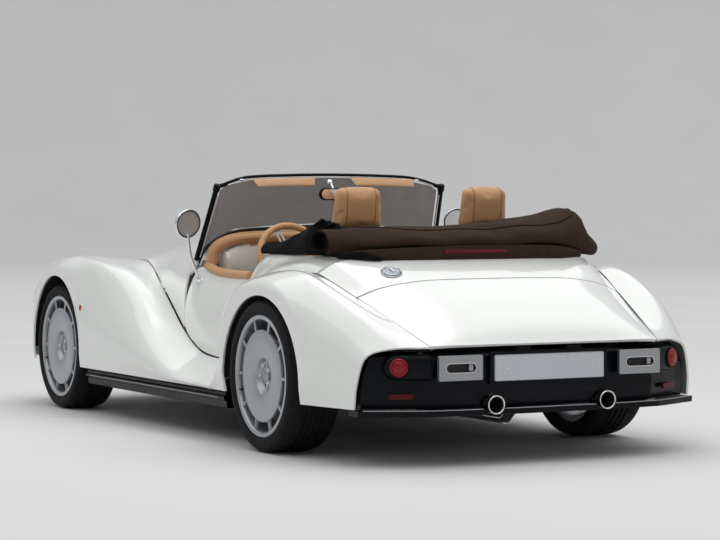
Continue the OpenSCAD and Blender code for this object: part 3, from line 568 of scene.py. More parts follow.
def tyre_shape(name, place, r, w, body, stands_for):
    c, b, steps = w / 2, RIM_R + 0.0008, 200
    side = [(b, c - 0.012), (b + 0.003, c - 0.006), (b + 0.012, c - 0.0035), (b + 0.0125, c - 0.0015),
            (b + 0.015, c - 0.0015), (b + 0.0155, c - 0.003), (b + 0.026, c - 0.0008), (b + 0.034, c - 0.0008),
            (b + 0.0345, c - 0.0022), (r - 0.020, c - 0.004), (r - 0.0135, c - 0.0085),
            (r - 0.0125, c - 0.0075), (r - 0.0085, c - 0.014), (r - 0.0045, c - 0.024),
            (r - 0.0016, c - 0.037), (r - 0.0006, c - 0.048)]
    tread = []
    for z in (0.040, 0.014):
        tread += [(r - 0.0002, z + 0.0052), (r - 0.0068, z + 0.0044), (r - 0.0068, z - 0.0044), (r, z - 0.0052)]
    outer = side + tread
    outer = outer + [(q, -z) for q, z in reversed(outer)]
    inner = [(b, -c + 0.030), (b + 0.020, -c + 0.016), (r - 0.024, -c + 0.018), (r - 0.014, -c + 0.040),
             (r - 0.014, c - 0.040), (r - 0.024, c - 0.018), (b + 0.020, c - 0.016), (b, c - 0.030)]
    profile = outer + inner
    verts = []
    for s in range(steps):
        a = 2 * math.pi * s / steps
        for q, z in profile:
            cut = s % 5 == 0 and 0.046 < abs(z) < c - 0.012 and q > r - 0.0135
            notch = s % 5 == 2 and 0.016 < abs(z) < 0.038 and q > r - 0.003
            q2 = q - (0.0045 if cut else 0.003 if notch else 0.0)
            verts.append((q2 * math.cos(a), q2 * math.sin(a), z))
    o = mesh_object(name, transform(verts, place), spun_faces(steps, len(profile)), TYRE, body, crease=30.0)
    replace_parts(o, stands_for)
    return o


HUB_RISE = 0.0285  # nuts stand this far out from the hub face


def road_wheel(name, place, w, body, stands_for):
    d = w - 0.040
    R = RIM_R
    parts = [lathe("rim", [(R - .020, -d), (R, -d), (R, -d + .012), (R - .014, -d + .020), (R - .022, -d / 2),
                           (R - .014, -.020), (R, -.012), (R, -.0012), (R - .0012, 0), (R - .003, .0015),
                           (R - .016, .0015), (R - .0185, .0002), (R - .0205, -.0032), (R - .0235, -.012),
                           (R - .034, -d / 2), (R - .030, -d + .010)], WHEEL_SILVER, body, place, 128),
             lathe("disc", [(.026, -.037), (.060, -.036), (.0635, -.035), (.0665, -.031), (.0735, -.018),
                            (.0765, -.0125), (.081, -.0102), (.110, -.0068), (.150, -.0045), (.1935, -.0040),
                            (.1965, -.0052), (.198, -.0085), (.198, -.0195), (.110, -.026), (.084, -.034),
                            (.072, -.086), (.026, -.086)], WHEEL_SILVER, body, place, 128)]
    for k in range(10):
        turn = place @ Matrix.Rotation(k * math.pi / 5, 4, "Z") @ Matrix.Translation((.216, 0, -.0115))
        lean = turn @ Matrix.Rotation(math.radians(16), 4, "X")
        parts.append(box("vane", (-.025, -.0062, -.0085), (.028, .0062, .0065), WHEEL_SILVER, body, .002, lean))
    wheel = joined(name, parts, body)
    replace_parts(wheel, stands_for)
    bits = []
    for k in range(5):
        turn = place @ Matrix.Rotation(k * 2 * math.pi / 5, 4, "Z") @ Matrix.Translation((.0455, 0, HUB_RISE))
        bits.append(lathe("washer", [(.0005, -.0645), (.0125, -.0645), (.0125, -.0615), (.0105, -.0605),
                                     (.0005, -.0605)], CHROME, body, turn, 32))
        bits.append(hexagon("nut", .0098, -.0605, -.048, CHROME, body, turn))
        bits.append(lathe("nut_end", [(.0003, -.049), (.0078, -.049), (.0070, -.0440), (.0003, -.0425)],
                          CHROME, body, turn, 32))
    bits.append(lathe("centre_cap", [(.0003, -.067), (.0255, -.067), (.0265, -.060), (.0240, -.0545),
                                     (.0120, -.0515), (.0003, -.0508)], SATIN_METAL, body,
                      place @ Matrix.Translation((0, 0, HUB_RISE)), 64))
    joined(f"{name}_nuts", bits, body)
    valve = place @ Matrix.Rotation(0.31, 4, "Z")
    tube(f"{name}_valve", [valve @ Vector(p) for p in ((.2365, 0, -.020), (.232, 0, -.008), (.228, 0, .000))],
         [.0042, .0036, .003], SEAL, body, steps=10)


def arc_block(name, arcs, low, high, place, holder, edge):
    """Block from low to high between two arcs of (radius, first angle, last angle)."""
    loop = [(r * math.cos(a), r * math.sin(a)) for r, first, last in arcs for a in np.linspace(first, last, 12)]
    verts = [(x, y, z) for z in (low, high) for x, y in loop]
    return bevel(mesh_object(name, transform(verts, place), prism_faces(len(loop)), CAST, holder), edge)


def brake(name, place, spins, holder):
    profile = [(.034, -.088), (.078, -.088), (.080, -.090), (.080, -.103), (.158, -.103), (.160, -.105),
               (.160, -.109), (.158, -.111), (.100, -.111), (.100, -.117), (.158, -.117), (.160, -.119),
               (.160, -.123), (.158, -.125), (.078, -.125), (.076, -.122), (.076, -.094), (.034, -.094)]
    lathe(f"{name}_disc", profile, ROTOR, spins, place, 96)
    parts = [arc_block("pad", ((.174, 2.75, 3.53), (.118, 3.47, 2.81)), low, high, place, holder, .003)
             for low, high in ((-.1015, -.0905), (-.1375, -.1265))]
    parts.append(arc_block("bridge", ((.178, 2.78, 3.50), (.1635, 3.50, 2.78)), -.136, -.092, place, holder,
                           .002))
    joined(f"{name}_caliper", parts, holder)


ROTOR = material("brake_disc", (0.30, 0.30, 0.31), 0.35, metal=0.9, grain=30.0, bump=0.05, tint=0.15)
for side, sign in SIDES:
    for end, x, r, w, face in (("front", FRONT_X, FRONT_R, FRONT_W, FRONT_FACE),
                               ("rear", REAR_X, REAR_R, REAR_W, REAR_FACE)):
        body = f"road_wheel_{end}_{side}"
        place = frame_matrix((x, sign * (face - 0.006), r), (0, sign, 0))
        road_wheel(f"alloy_wheel_{end}_{side}", place, w, body, f"wheel_{end}_{side}")
        middle = frame_matrix((x, sign * (face + 0.004 - w / 2), r), (0, sign, 0))
        tyre_shape(f"tread_tyre_{end}_{side}", middle, r, w, body, f"tyre_{end}_{side}")
        brake(f"brake_{end}_{side}", place, body, f"knuckle_{side}" if end == "front" else ROOT)

# ---------------------------------------------------------------- wheel arch liners and sills
def liner(name, cx, arch, rows, flip):
    """Black inner arch: rows of (y, growth of the arch) from the lip inwards."""
    grid = np.array([[(cx - (arch[0] + g) * math.cos(a), y,
                       max(arch[2] + (arch[1] + g * .25) * math.sin(a), .2))
                      for a in np.linspace(0, math.pi, 49)] for y, g in rows])
    inner = grid + normals(grid) * -0.003
    if flip:
        grid, inner = mirror_y(grid), mirror_y(inner)
    return slab(name, grid, inner, SEAL, edge=0)


for side, flip in SIDES_FLIPPED:
    liner(f"front_arch_liner_{side}", ARCH_F, FRONT_ARCH, [(.8815, .004), (.872, .012), (.85, .030),
                                                           (.82, .052), (.74, .056), (.62, .056), (.60, .050)],
          flip)
    liner(f"rear_arch_liner_{side}", ARCH_B, REAR_ARCH, [(.8735, .004), (.865, .007), (.83, .008), (.72, .008),
                                                         (.62, .008), (.60, .0)], flip)

# ---------------------------------------------------------------- running boards
def strip(name, section, xs, look, flip=False, shear=0.0):
    """Section of (y, z) points run along x, its y growing with x by shear."""
    grid = np.array([[(x, y + (x - xs[0]) * shear, z) for y, z in section] for x in xs])
    if flip:
        grid = mirror_y(grid)
    faces = ring_faces(len(xs), len(section), capped=True)
    return mesh_object(name, grid.reshape(-1, 3), faces, look, crease=32.0)


SILL_X = list(np.linspace(-0.668, 1.010, 30))
SILL_SECTION = [(.70, .152), (.826, .152), (.834, .156), (.838, .163), (.838, .180), (.841, .186),
                (.846, .189), (.850, .192), (.8525, .197), (.8525, .203), (.850, .207), (.845, .209),
                (.842, .213), (.842, .222), (.840, .226), (.70, .226)]
for side, flip in SIDES_FLIPPED:
    board = strip(f"running_board_{side}", SILL_SECTION, SILL_X, GLOSS_BLACK, flip=flip, shear=0.0125)
    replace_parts(board, f"sill_{side}")
    # satin metal strip on the board's outer step: a painted highlight line along the glossy black board
    strip(f"running_board_highlight_strip_{side}", [(.8515, .1975), (.8545, .1985), (.8545, .2015), (.8515, .2025)],
          SILL_X[1:-1], SATIN_METAL, flip=flip, shear=0.0125)

# ---------------------------------------------------------------- tail
TAIL_X = [(-800, -1858), (-740, -1886), (-640, -1940), (-545, -1986), (-400, -2006), (-200, -2016), (0, -2018)]
TAIL_Y = np.array([q[0] for q in TAIL_X] + [-q[0] for q in TAIL_X[-2::-1]]) * MM
TAIL_AT = np.array([q[1] for q in TAIL_X] + [q[1] for q in TAIL_X[-2::-1]]) * MM


def tail_x(y):
    """Rear face of the black tail panel at y."""
    return float(np.interp(y, TAIL_Y, TAIL_AT))


def rounded(w, h, r):
    """Rounded rectangle, twelve points a corner, from the right-hand side round."""
    out = []
    for k, (sx, sy) in enumerate(((1, 1), (-1, 1), (-1, -1), (1, -1))):
        for t in np.linspace(0, math.pi / 2, 12):
            a = k * math.pi / 2 + t
            out.append((sx * (w / 2 - r) + r * math.cos(a), sy * (h / 2 - r) + r * math.sin(a)))
    return out


def prism(name, loop, low, high, look, body=ROOT, place=None, edge=0.0015):
    """Outline in the local XY plane run from low to high along local Z."""
    verts = [(x, y, z) for z in (low, high) for x, y in loop]
    o = mesh_object(name, transform(verts, place), prism_faces(len(loop)), look, body)
    return bevel(o, edge, 3, 60.0) if edge else o


def window_plate(name, outer, inner, low, high, look, body=ROOT, place=None, edge=0.0015):
    """Plate between two outlines with the same number of points, with the inner one open."""
    n = len(outer)
    verts = [(x, y, z) for z in (low, high) for loop in (outer, inner) for x, y in loop]
    faces = []
    for k in range(n):
        m = (k + 1) % n
        faces += [(k, n + k, n + m, m), (2 * n + k, 2 * n + m, 3 * n + m, 3 * n + k),
                  (k, m, 2 * n + m, 2 * n + k), (n + k, 3 * n + k, 3 * n + m, n + m)]
    o = mesh_object(name, transform(verts, place), faces, look, body)
    return bevel(o, edge, 3, 60.0) if edge else o


def axes(rows, at=(0, 0, 0)):
    """Local frame with the given rotation rows at a place."""
    m = Matrix(rows).to_4x4()
    m.translation = Vector(at)
    return m


def facing_back(x, y, z):
    """Local frame that looks to the rear: x to the car's left, y up, z to the rear."""
    return axes(((0, 0, -1), (1, 0, 0), (0, 1, 0)), (x, y, z))


def on_edge(sign):
    """Local frame for an upright plate seen from the side: x ahead, y up, z outwards."""
    return axes(((1, 0, 0), (0, 0, sign), (0, 1, 0)))


LAMP_Y, LAMP_Z, LAMP_TURN = 0.646, 0.405, math.radians(27)
for side, sign in SIDES:
    # raised black pod that joins the lamp to the slotted housing
    rows = []
    for t in np.linspace(0, 1, 22):
        y = 0.532 + (0.700 - 0.532) * t
        over = max(0.0, (y - 0.648) / 0.0525)
        half = 0.052 * math.sqrt(max(0.02, 1 - over ** 2))
        rows.append([(y, 0.4045 - half + 2 * half * k / 10, k) for k in range(11)])
    grid = np.array([[(tail_x(y) - 0.0135 * (1 - abs(k / 5 - 1) ** 6) * min(1, (0.7015 - y) / .006 + .05),
                       sign * y, z) for y, z, k in row] for row in rows])
    back = grid + np.array([0.022, 0, 0])
    slab(f"lamp_pod_{side}", grid, back, GLOSS_BLACK, edge=0.002)
    place = frame_matrix((tail_x(LAMP_Y) + 0.003, sign * LAMP_Y, LAMP_Z),
                         (-math.cos(LAMP_TURN), sign * math.sin(LAMP_TURN), 0), (0, 0, 1))
    lens = lathe(f"tail_lens_{side}", [(.0003, -.030), (.036, -.030), (.038, .010), (.0382, .0195),
                                       (.0368, .0235), (.0330, .0262), (.0300, .0262), (.0285, .0246),
                                       (.0262, .0246), (.0245, .0272), (.0190, .0294), (.0110, .0306),
                                       (.0003, .0310)], RED_LENS, ROOT, place, 96)
    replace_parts(lens, f"tail_lamp_{side}")
    lathe(f"tail_lamp_rim_{side}", [(.0386, -.010), (.0440, -.010), (.0455, .014), (.0450, .0185),
                                    (.0425, .0205), (.0395, .0195), (.0386, .016)], GLOSS_BLACK, ROOT, place,
          96)
    # slotted satin housing beside the plate
    face = facing_back(-2.0300, sign * 0.4255, 0.402)
    outer, hole = rounded(0.200, 0.101, 0.006), rounded(0.136, 0.036, 0.0178)
    plate = window_plate(f"slot_housing_{side}", outer, hole, 0.004, 0.0215, SATIN_METAL, place=face,
                         edge=0.0012)
    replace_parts(plate, f"tail_housing_{side}")
    tube(f"slot_rim_{side}", [face @ Vector((x, y, 0.0225)) for x, y in rounded(0.138, 0.038, 0.0188)], 0.0018,
         CHROME, closed=True, steps=8)
    prism(f"slot_back_{side}", rounded(0.150, 0.050, 0.020), -0.030, 0.002, SEAL, place=face, edge=0)
    prism(f"slot_catch_{side}", rounded(0.020, 0.028, 0.004), 0.002, 0.014, SATIN_METAL,
          place=face @ Matrix.Translation((-0.050, 0, 0)), edge=0.0008)
    # red reflector
    y = sign * 0.640
    spot = frame_matrix((tail_x(y) - 0.002, y, 0.288), (-math.cos(LAMP_TURN), sign * math.sin(LAMP_TURN), 0),
                        (0, 1, 0))
    prism(f"reflector_{side}", rounded(0.098, 0.022, 0.009), -0.006, 0.006, RED_STRIP, place=spot, edge=0.0012)
    # exhaust tip
    pipe = axes(((0, 0, -1), (0, 1, 0), (1, 0, 0)), (-2.055, sign * EXHAUST_Y, EXHAUST_Z))
    lathe(f"exhaust_tip_{side}", [(.0332, -.120), (.0383, -.120), (.0388, -.004), (.0392, -.001),
                                  (.0390, .0016), (.0378, .0030), (.0358, .0030), (.0342, .0018),
                                  (.0333, -.001)], CHROME, ROOT, pipe, 96)
    # black sleeve and end disc inside the tip: painted shade for the dark inside of the pipe
    lathe(f"exhaust_shade_sleeve_{side}", [(.0326, -.190), (.0329, -.190), (.0329, -.006), (.0326, -.006)], SEAL, ROOT,
          pipe, 64)
    lathe(f"exhaust_end_{side}", [(.0003, -.180), (.0324, -.180), (.0324, -.176), (.0003, -.176)], SEAL, ROOT,
          pipe, 48)

face = facing_back(-2.0240, 0, 0.395)
plate = prism("plate_blank", rounded(0.520, 0.106, 0.008), 0.0005, 0.0105, PLATE, place=face, edge=0.001)
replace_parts(plate, "number_plate")
window_plate("plate_frame", rounded(0.560, 0.134, 0.008), rounded(0.521, 0.107, 0.008), -0.004, 0.006,
             GLOSS_BLACK, place=face, edge=0.0015)
prism("plate_back", rounded(0.545, 0.120, 0.006), -0.010, 0.000, SATIN_BLACK, place=face, edge=0)
tube("plate_edge", [face @ Vector((x, y, 0.0106)) for x, y in rounded(0.517, 0.103, 0.0075)], 0.0009,
     SATIN_METAL, closed=True, steps=8)
for x in (-0.2, 0.2):
    lathe(f"plate_screw_{'a' if x < 0 else 'b'}", [(.0003, .0100), (.0055, .0100), (.0050, .0122),
                                                   (.0028, .0132), (.0003, .0134)], CHROME, ROOT,
          face @ Matrix.Translation((x, 0, 0)), 32)
for y in (-0.12, 0.12):
    prism(f"plate_light_{'a' if y < 0 else 'b'}", rounded(0.072, 0.016, 0.004), -0.006, 0.020, SATIN_BLACK,
          place=facing_back(-2.006, y, 0.470), edge=0.002)
# lower lip: a satin metal strip along its edge is a painted highlight line
for side, sign in SIDES:
    ys = np.linspace(0.315, 0.785, 24)
    tube(f"lip_highlight_strip_{side}", [(tail_x(y) - 0.0262, sign * y, 0.2325) for y in ys], 0.0022, SATIN_METAL, steps=8)
tube("lip_highlight_strip_middle", [(tail_x(y) - 0.0262, y, 0.2325) for y in np.linspace(-0.215, 0.215, 12)], 0.0022,
     SATIN_METAL, steps=8)

# ---------------------------------------------------------------- small parts of the body
bpy.context.view_layer.update()
_, cap_at, cap_up, _ = bpy.data.objects["deck_skin"].ray_cast(Vector((-1.497, 0.448, 2)), Vector((0, 0, -1)))
cap = frame_matrix(cap_at, cap_up, (1, 0, 0))
filler = lathe("filler_cap_turned", [(.0003, -.018), (.0440, -.018), (.0455, -.006), (.0462, .0010),
                                     (.0455, .0030), (.0420, .0040), (.0405, .0058), (.0385, .0082),
                                     (.0350, .0102), (.0300, .0112), (.0285, .0104), (.0200, .0112),
                                     (.0185, .0128), (.0160, .0132), (.0150, .0118), (.0070, .0108),
                                     (.0003, .0106)], CAP_METAL, ROOT, cap, 96)
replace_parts(filler, "filler_cap")
bits = []
for k in range(6):
    turn = cap @ Matrix.Rotation(k * math.pi / 3, 4, "Z") @ Matrix.Translation((.0352, 0, 0))
    bits.append(hexagon("cap_bolt", .0036, .0075, .0130, CHROME, ROOT, turn))
bits.append(box("cap_handle", (-.014, -.003, .0108), (.014, .003, .0175), CHROME, ROOT, .0015, cap))
joined("filler_cap_bolts", bits)


def on_side(x, z, sign, skin):
    """Point and outward direction of a body skin seen from the side at x, z."""
    bpy.context.view_layer.update()
    o = bpy.data.objects[skin]
    _, at, direction, _ = o.ray_cast(Vector((x, sign * 2, z)), Vector((0, -sign, 0)))
    return at, direction


for side, sign in SIDES:
    at, out = on_side(1.010, 0.538, sign, f"front_wing_skin_{side}")
    place = frame_matrix(at, out, (0, 0, 1))
    lathe(f"side_marker_{side}", [(.0003, -.004), (.0150, -.004), (.0156, .0015), (.0120, .0062),
                                  (.0060, .0082), (.0003, .0088)], AMBER, ROOT, place, 48)
    lathe(f"side_marker_rim_{side}", [(.0158, -.004), (.0205, -.004), (.0205, .0012), (.0180, .0034),
                                      (.0158, .0026)], CHROME, ROOT, place, 48)
    at, out = on_side(-0.452, 0.611, sign, f"door_skin_{side}")
    place = frame_matrix(at, out, (0, 0, 1))
    lathe(f"door_lock_{side}", [(.0003, -.003), (.0185, -.003), (.0190, .0010), (.0165, .0030), (.0125, .0034),
                                (.0115, .0022), (.0003, .0022)], CHROME, f"{side}_door", place, 48)
    box(f"door_key_slot_{side}", (-.006, -.0009, .0018), (.006, .0009, .0030), SEAL, f"{side}_door", 0, place)

# ---------------------------------------------------------------- door mirrors
for side, sign in SIDES:
    body = f"{side}_door"
    lean = Matrix.Rotation(sign * math.radians(12), 4, "Z") @ Matrix.Rotation(math.radians(80), 4, "Y")
    place = Matrix.Translation((.038, sign * .725, .968)) @ lean @ Matrix.Diagonal((1.18, 1.18, 1, 1))
    shell = lathe(f"mirror_shell_{side}", [(.0530, -.0105), (.0555, -.0130), (.0572, -.0105), (.0580, -.004),
                                           (.0572, .006), (.0530, .014), (.0440, .0205), (.0300, .0255),
                                           (.0120, .0280), (.0003, .0284), (.0003, .0240), (.0300, .0215),
                                           (.0480, .0120), (.0530, .002)], CHROME, body, place, 96)
    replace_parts(shell, f"mirror_{side}")
    lathe(f"mirror_glass_{side}", [(.0003, -.0070), (.0528, -.0075), (.0528, -.0035), (.0003, -.0030)],
          MIRROR_FACE, body, place, 96)
    lathe(f"mirror_rim_{side}", [(.0512, -.0120), (.0540, -.0142), (.0572, -.0125), (.0540, -.0100)], SEAL,
          body, place, 96)
    at, out = on_side(.032, .694, sign, f"door_skin_{side}")
    base = at + out * .006
    path = [base, base + Vector((.001, sign * .004, .030)), Vector((.036, sign * .706, .800)),
            Vector((.038, sign * .717, .870)), Vector((.0385, sign * .722, .918))]
    tube(f"mirror_stem_{side}", curve(path, 24), [.0088 - .0001 * k for k in range(24)], CHROME, body, steps=20)
    lathe(f"mirror_collar_{side}", [(.0003, -.012), (.0110, -.012), (.0125, -.008), (.0120, .008),
                                    (.0100, .014), (.0003, .014)], CHROME, body,
          frame_matrix(base + Vector((0, 0, .006)), (.02, sign * .10, .30), (1, 0, 0)), 32)
    foot = frame_matrix(at, out, (1, 0, 0))
    prism(f"mirror_foot_{side}", rounded(.050, .034, .014), -.004, .005, CHROME, body, foot, edge=.0012)
    for k, dx in enumerate((-.014, .014)):
        tube(f"mirror_finger_{side}_{k}", [foot @ Vector((dx, 0, .002)), foot @ Vector((dx * .9, 0, .009)),
                                           foot @ Vector((dx * .3, .002 * sign, .014))], [.006, .0054, .005],
             CHROME, body, steps=12)

# ---------------------------------------------------------------- windscreen
SCREEN = np.array([[-636, 128, 770, -30, 1118], [-585, 124, 862, -22, 1150], [-450, 116, 930, -8, 1176],
                   [-225, 104, 948, 5, 1185], [0, 100, 955, 9, 1188], [225, 104, 948, 5, 1185],
                   [450, 116, 930, -8, 1176], [585, 124, 862, -22, 1150], [636, 128, 770, -30, 1118]]) * MM
low_line = [Vector((q[1] + .004, q[0], q[2] - .006)) for q in SCREEN]
top_line = [Vector((q[3] + .002, q[0] * 0.94, q[4] + .008)) for q in SCREEN]
POST_LOW, POST_TOP = Vector((.139, .641, .776)), Vector((-.030, .602, 1.136))
header = curve(top_line[1:-1], 60)
ends = [Vector((-.026, -.586, 1.142)), *header[2:-2], Vector((-.026, .586, 1.142))]
header = tube("screen_header", curve([ends[0], *ends[3:-3:6], ends[-1]], 90), .0095, SATIN_BLACK, steps=14)
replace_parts(header, "windscreen_frame")
tube("screen_header_edge", [Vector((v.x - .0075, v.y, v.z - .0075)) for v in
                            curve([ends[0], *ends[3:-3:6], ends[-1]], 90)][3:-3], .0028, CHROME, steps=10)
tube("screen_lower_rail", curve(low_line, 90), .0085, SEAL, steps=12)
for side, sign in SIDES:
    flip = Vector((1, sign, 1))
    a, b = POST_LOW * flip, POST_TOP * flip
    line = [a.lerp(b, t) for t in np.linspace(0.0, 1.0, 12)]
    tube(f"screen_post_{side}", line, .0125, SATIN_BLACK, steps=20)
    inward = Vector((-.006, -sign * .011, -.002))
    tube(f"screen_post_edge_{side}", [p + inward for p in line[1:-1]], .0032, CHROME, steps=10)
    axis = (b - a).normalized()
    lathe(f"screen_post_cap_{side}", [(.0003, -.018), (.0150, -.018), (.0168, -.014), (.0168, .010),
                                      (.0148, .0145), (.0003, .016)], SATIN_BLACK, ROOT,
          frame_matrix(b, axis, (0, 1, 0)), 40)
    tube(f"screen_corner_{side}", curve([b + Vector((0, 0, -.002)), Vector((-.027, sign * .594, 1.1395)),
                                         Vector((-.025, sign * .578, 1.1455))], 12), .0098, SATIN_BLACK,
         steps=14)
    lathe(f"screen_post_foot_{side}", [(.0003, -.004), (.0185, -.004), (.0190, .004), (.0150, .014),
                                       (.0130, .020), (.0003, .020)], CHROME, ROOT,
          frame_matrix(a, axis, (0, 1, 0)), 40)

# sun visors and interior mirror on the header
for side, sign in SIDES:
    inner, outer = (-.036, .095, 1.170), (-.060, .430, 1.160)
    hang = [(-.072, .110, 1.147), (-.092, .415, 1.140)]
    rows = []
    for t in np.linspace(0, 1, 16):
        top = Vector(inner).lerp(Vector(outer), t) + Vector((-.004, 0, .014))
        low = Vector(hang[0]).lerp(Vector(hang[1]), t)
        rows.append([top.lerp(low, k / 8) for k in range(9)])
    grid = np.array([[(p.x, sign * p.y, p.z) for p in r] for r in rows])
    thick = 0.006 * np.sqrt(np.clip(1 - np.abs(np.linspace(-1, 1, 16))[:, None] ** 4, 0.05, 1)
                            * np.clip(1 - np.abs(np.linspace(-1, 1, 9))[None, :] ** 4, 0.05, 1))
    way = normals(grid)
    visor = slab(f"sun_visor_{side}", grid - way * thick[..., None], grid + way * thick[..., None], TAN, edge=0)
    lathe(f"visor_pivot_{side}", [(.0003, -.010), (.0060, -.010), (.0060, .010), (.0003, .010)], CHROME, ROOT,
          frame_matrix((-.016, sign * .470, 1.172), (0, 1, 0), (1, 0, 0)), 24)
place = facing_back(-.060, -.012, 1.104)
prism("inside_mirror_case", rounded(.176, .058, .028), -.018, .006, SATIN_BLACK, place=place, edge=.005)
prism("inside_mirror_glass", rounded(.164, .047, .023), .0058, .0072, MIRROR, place=place, edge=0)
tube("inside_mirror_stem", [(-.046, -.006, 1.118), (-.026, -.006, 1.140), (-.002, -.006, 1.158)],
     [.006, .005, .006], CHROME, steps=12)
lathe("inside_mirror_mount", [(.0003, -.006), (.0150, -.006), (.0158, .004), (.0100, .010), (.0003, .012)],
      CHROME, ROOT, frame_matrix((-.001, -.006, 1.160), (-1, 0, .25), (0, 0, 1)), 40)

# ---------------------------------------------------------------- nose, grille and headlamps
GRILLE_Z = .430


def rounded_loop(points):
    """Smooth closed outline through the points of one half, bottom centre to top centre, and its mirror."""
    half = curve([(y, z, 0) for y, z in points], 48)
    loop = [(p.x, p.y) for p in half]
    return loop + [(-y, z) for y, z in loop[-2:0:-1]]


def toward(loop, factor):
    """Outline of the nose scaled about the middle of the grille."""
    return [(y * factor, GRILLE_Z + (z - GRILLE_Z) * factor) for y, z in loop]


NOSE = rounded_loop([(0, .224), (.150, .226), (.300, .244), (.327, .320), (.330, .410), (.318, .508),
                     (.262, .552), (.180, .577), (.090, .588), (0, .592)])
MOUTH = rounded_loop([(0, .288), (.110, .290), (.172, .322), (.195, .380), (.196, .440), (.168, .516),
                      (.100, .558), (.050, .569), (0, .572)])
layers = [(1.962, toward(NOSE, .985)), (1.962, NOSE), (2.024, NOSE), (2.044, toward(NOSE, .978)),
          (2.053, toward(NOSE, .935)), (2.0545, [(a[0] * .5 + b[0] * .5, a[1] * .5 + b[1] * .5) for a,
                                                 b in zip(NOSE, MOUTH)]), (2.0535, toward(MOUTH, 1.035)),
          (2.049, MOUTH), (2.020, toward(MOUTH, .992)), (2.000, toward(MOUTH, .995))]
verts = [(x, y, z) for x, loop in layers for y, z in loop]
faces = ring_faces(len(layers), len(NOSE), closed=True)
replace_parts(mesh_object("nose_skin", verts, faces, PAINT, crease=50), "nose")
surround = tube("grille_surround", [(2.052, y, z) for y, z in toward(MOUTH, 1.012)], .0078, CHROME,
                closed=True, steps=16)
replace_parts(surround, "grille")
into = axes(((0, 0, 1), (1, 0, 0), (0, 1, 0)))
prism("grille_back", toward(MOUTH, .975), 1.982, 1.987, SATIN_BLACK, place=into, edge=0)
bars = []
for k in range(-9, 10):
    y = k * .0195
    zs = [z for (a, z), (b, _) in zip(MOUTH, MOUTH[1:] + MOUTH[:1])
          if min(a, b) - .004 <= y <= max(a, b) + .004]
    low, high = min(zs) + .004, max(zs) - .004
    bow = .010 * math.cos(k / 9 * math.pi / 2)
    bars.append(tube("bar", [(2.030 + bow, y, low), (2.034 + bow, y, low + .25 * (high - low)),
                             (2.035 + bow, y, (low + high) / 2), (2.034 + bow, y, high - .25 * (high - low)),
                             (2.030 + bow, y, high)], .0036, CHROME, steps=10))
joined("grille_bars", bars)
for side, sign in SIDES:
    place = (Matrix.Translation((1.872, sign * .560, .520)) @ Matrix.Rotation(sign * math.radians(4), 4, "Z")
             @ Matrix.Rotation(math.radians(74), 4, "Y"))
    bowl = lathe(f"headlamp_bowl_{side}", [(.0880, .128), (.0905, .120), (.0905, .010), (.0880, .004),
                                           (.0003, .004), (.0003, .010), (.030, .012), (.050, .024),
                                           (.068, .052), (.080, .090), (.0850, .122)], CHROME, ROOT, place, 96)
    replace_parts(bowl, f"headlamp_{side}")
    lathe(f"headlamp_glass_{side}", [(.0855, .124), (.0850, .130), (.078, .139), (.062, .1465), (.040, .1515),
                                     (.018, .1540), (.0003, .1545), (.0003, .1520), (.018, .1515),
                                     (.040, .1490), (.061, .1440), (.076, .1370), (.0830, .129),
                                     (.0835, .124)], CLEAR, ROOT, place, 96)
    lathe(f"headlamp_rim_{side}", [(.0860, .124), (.0865, .132), (.0895, .1365), (.0940, .1350),
                                   (.0965, .1290), (.0965, .1180), (.0915, .1160)], CHROME, ROOT, place, 96)
    lathe(f"headlamp_inner_ring_{side}", [(.0580, .060), (.0600, .070), (.0700, .074), (.0740, .066),
                                          (.0720, .060)], SATIN_BLACK, ROOT, place, 72)
    lathe(f"headlamp_projector_{side}", [(.0003, .012), (.036, .020), (.0375, .060), (.0350, .078),
                                         (.026, .088), (.012, .0935), (.0003, .095)], MIRROR, ROOT, place, 72)
    at, out = on_side(1.700, 0.470, sign, f"front_wing_skin_{side}")
    place = frame_matrix(at, out, (1, 0, 0))
    prism(f"front_indicator_{side}", rounded(.062, .026, .012), -.004, .0075, AMBER, place=place, edge=.003)
    window_plate(f"front_indicator_rim_{side}", rounded(.072, .036, .017), rounded(.063, .027, .0125), -.004,
                 .0045, CHROME, ROOT, place, .001)
lift = []
for k in range(13):
    for sign in (1, -1):
        _, at, out, _ = bpy.data.objects["bonnet_skin"].ray_cast(Vector((.46 + k * .086, sign * .232, 2)),
                Vector((0, 0, -1)))
        place = frame_matrix(at, out, (0, 1, 0))
        lift.append(prism("louvre", [(-.055, -.006), (.055, -.006), (.051, .004), (.040, .011), (-.040, .011),
                                      (-.051, .004)], -.002, .0075, PAINT, "bonnet_lid", place, .003))
joined("bonnet_louvres", lift, "bonnet_lid")

# ---------------------------------------------------------------- folded soft top
def crumple(grid, amount, scale, seed):
    """Small soft folds along the surface normal."""
    way = normals(grid)
    out = grid.copy()
    for i in range(grid.shape[0]):
        for j in range(grid.shape[1]):
            p = Vector(grid[i, j] * np.array(scale)) + Vector((seed, seed * .7, 0))
            h = mn.noise(p) + 0.5 * mn.noise(p * 2.3)
            out[i, j] += way[i, j] * h * amount
    return out


def sheet(name, grid, thick, look):
    """Thin cloth of the given thickness."""
    o = slab(name, grid, grid + normals(grid) * thick, look, edge=0)
    return o


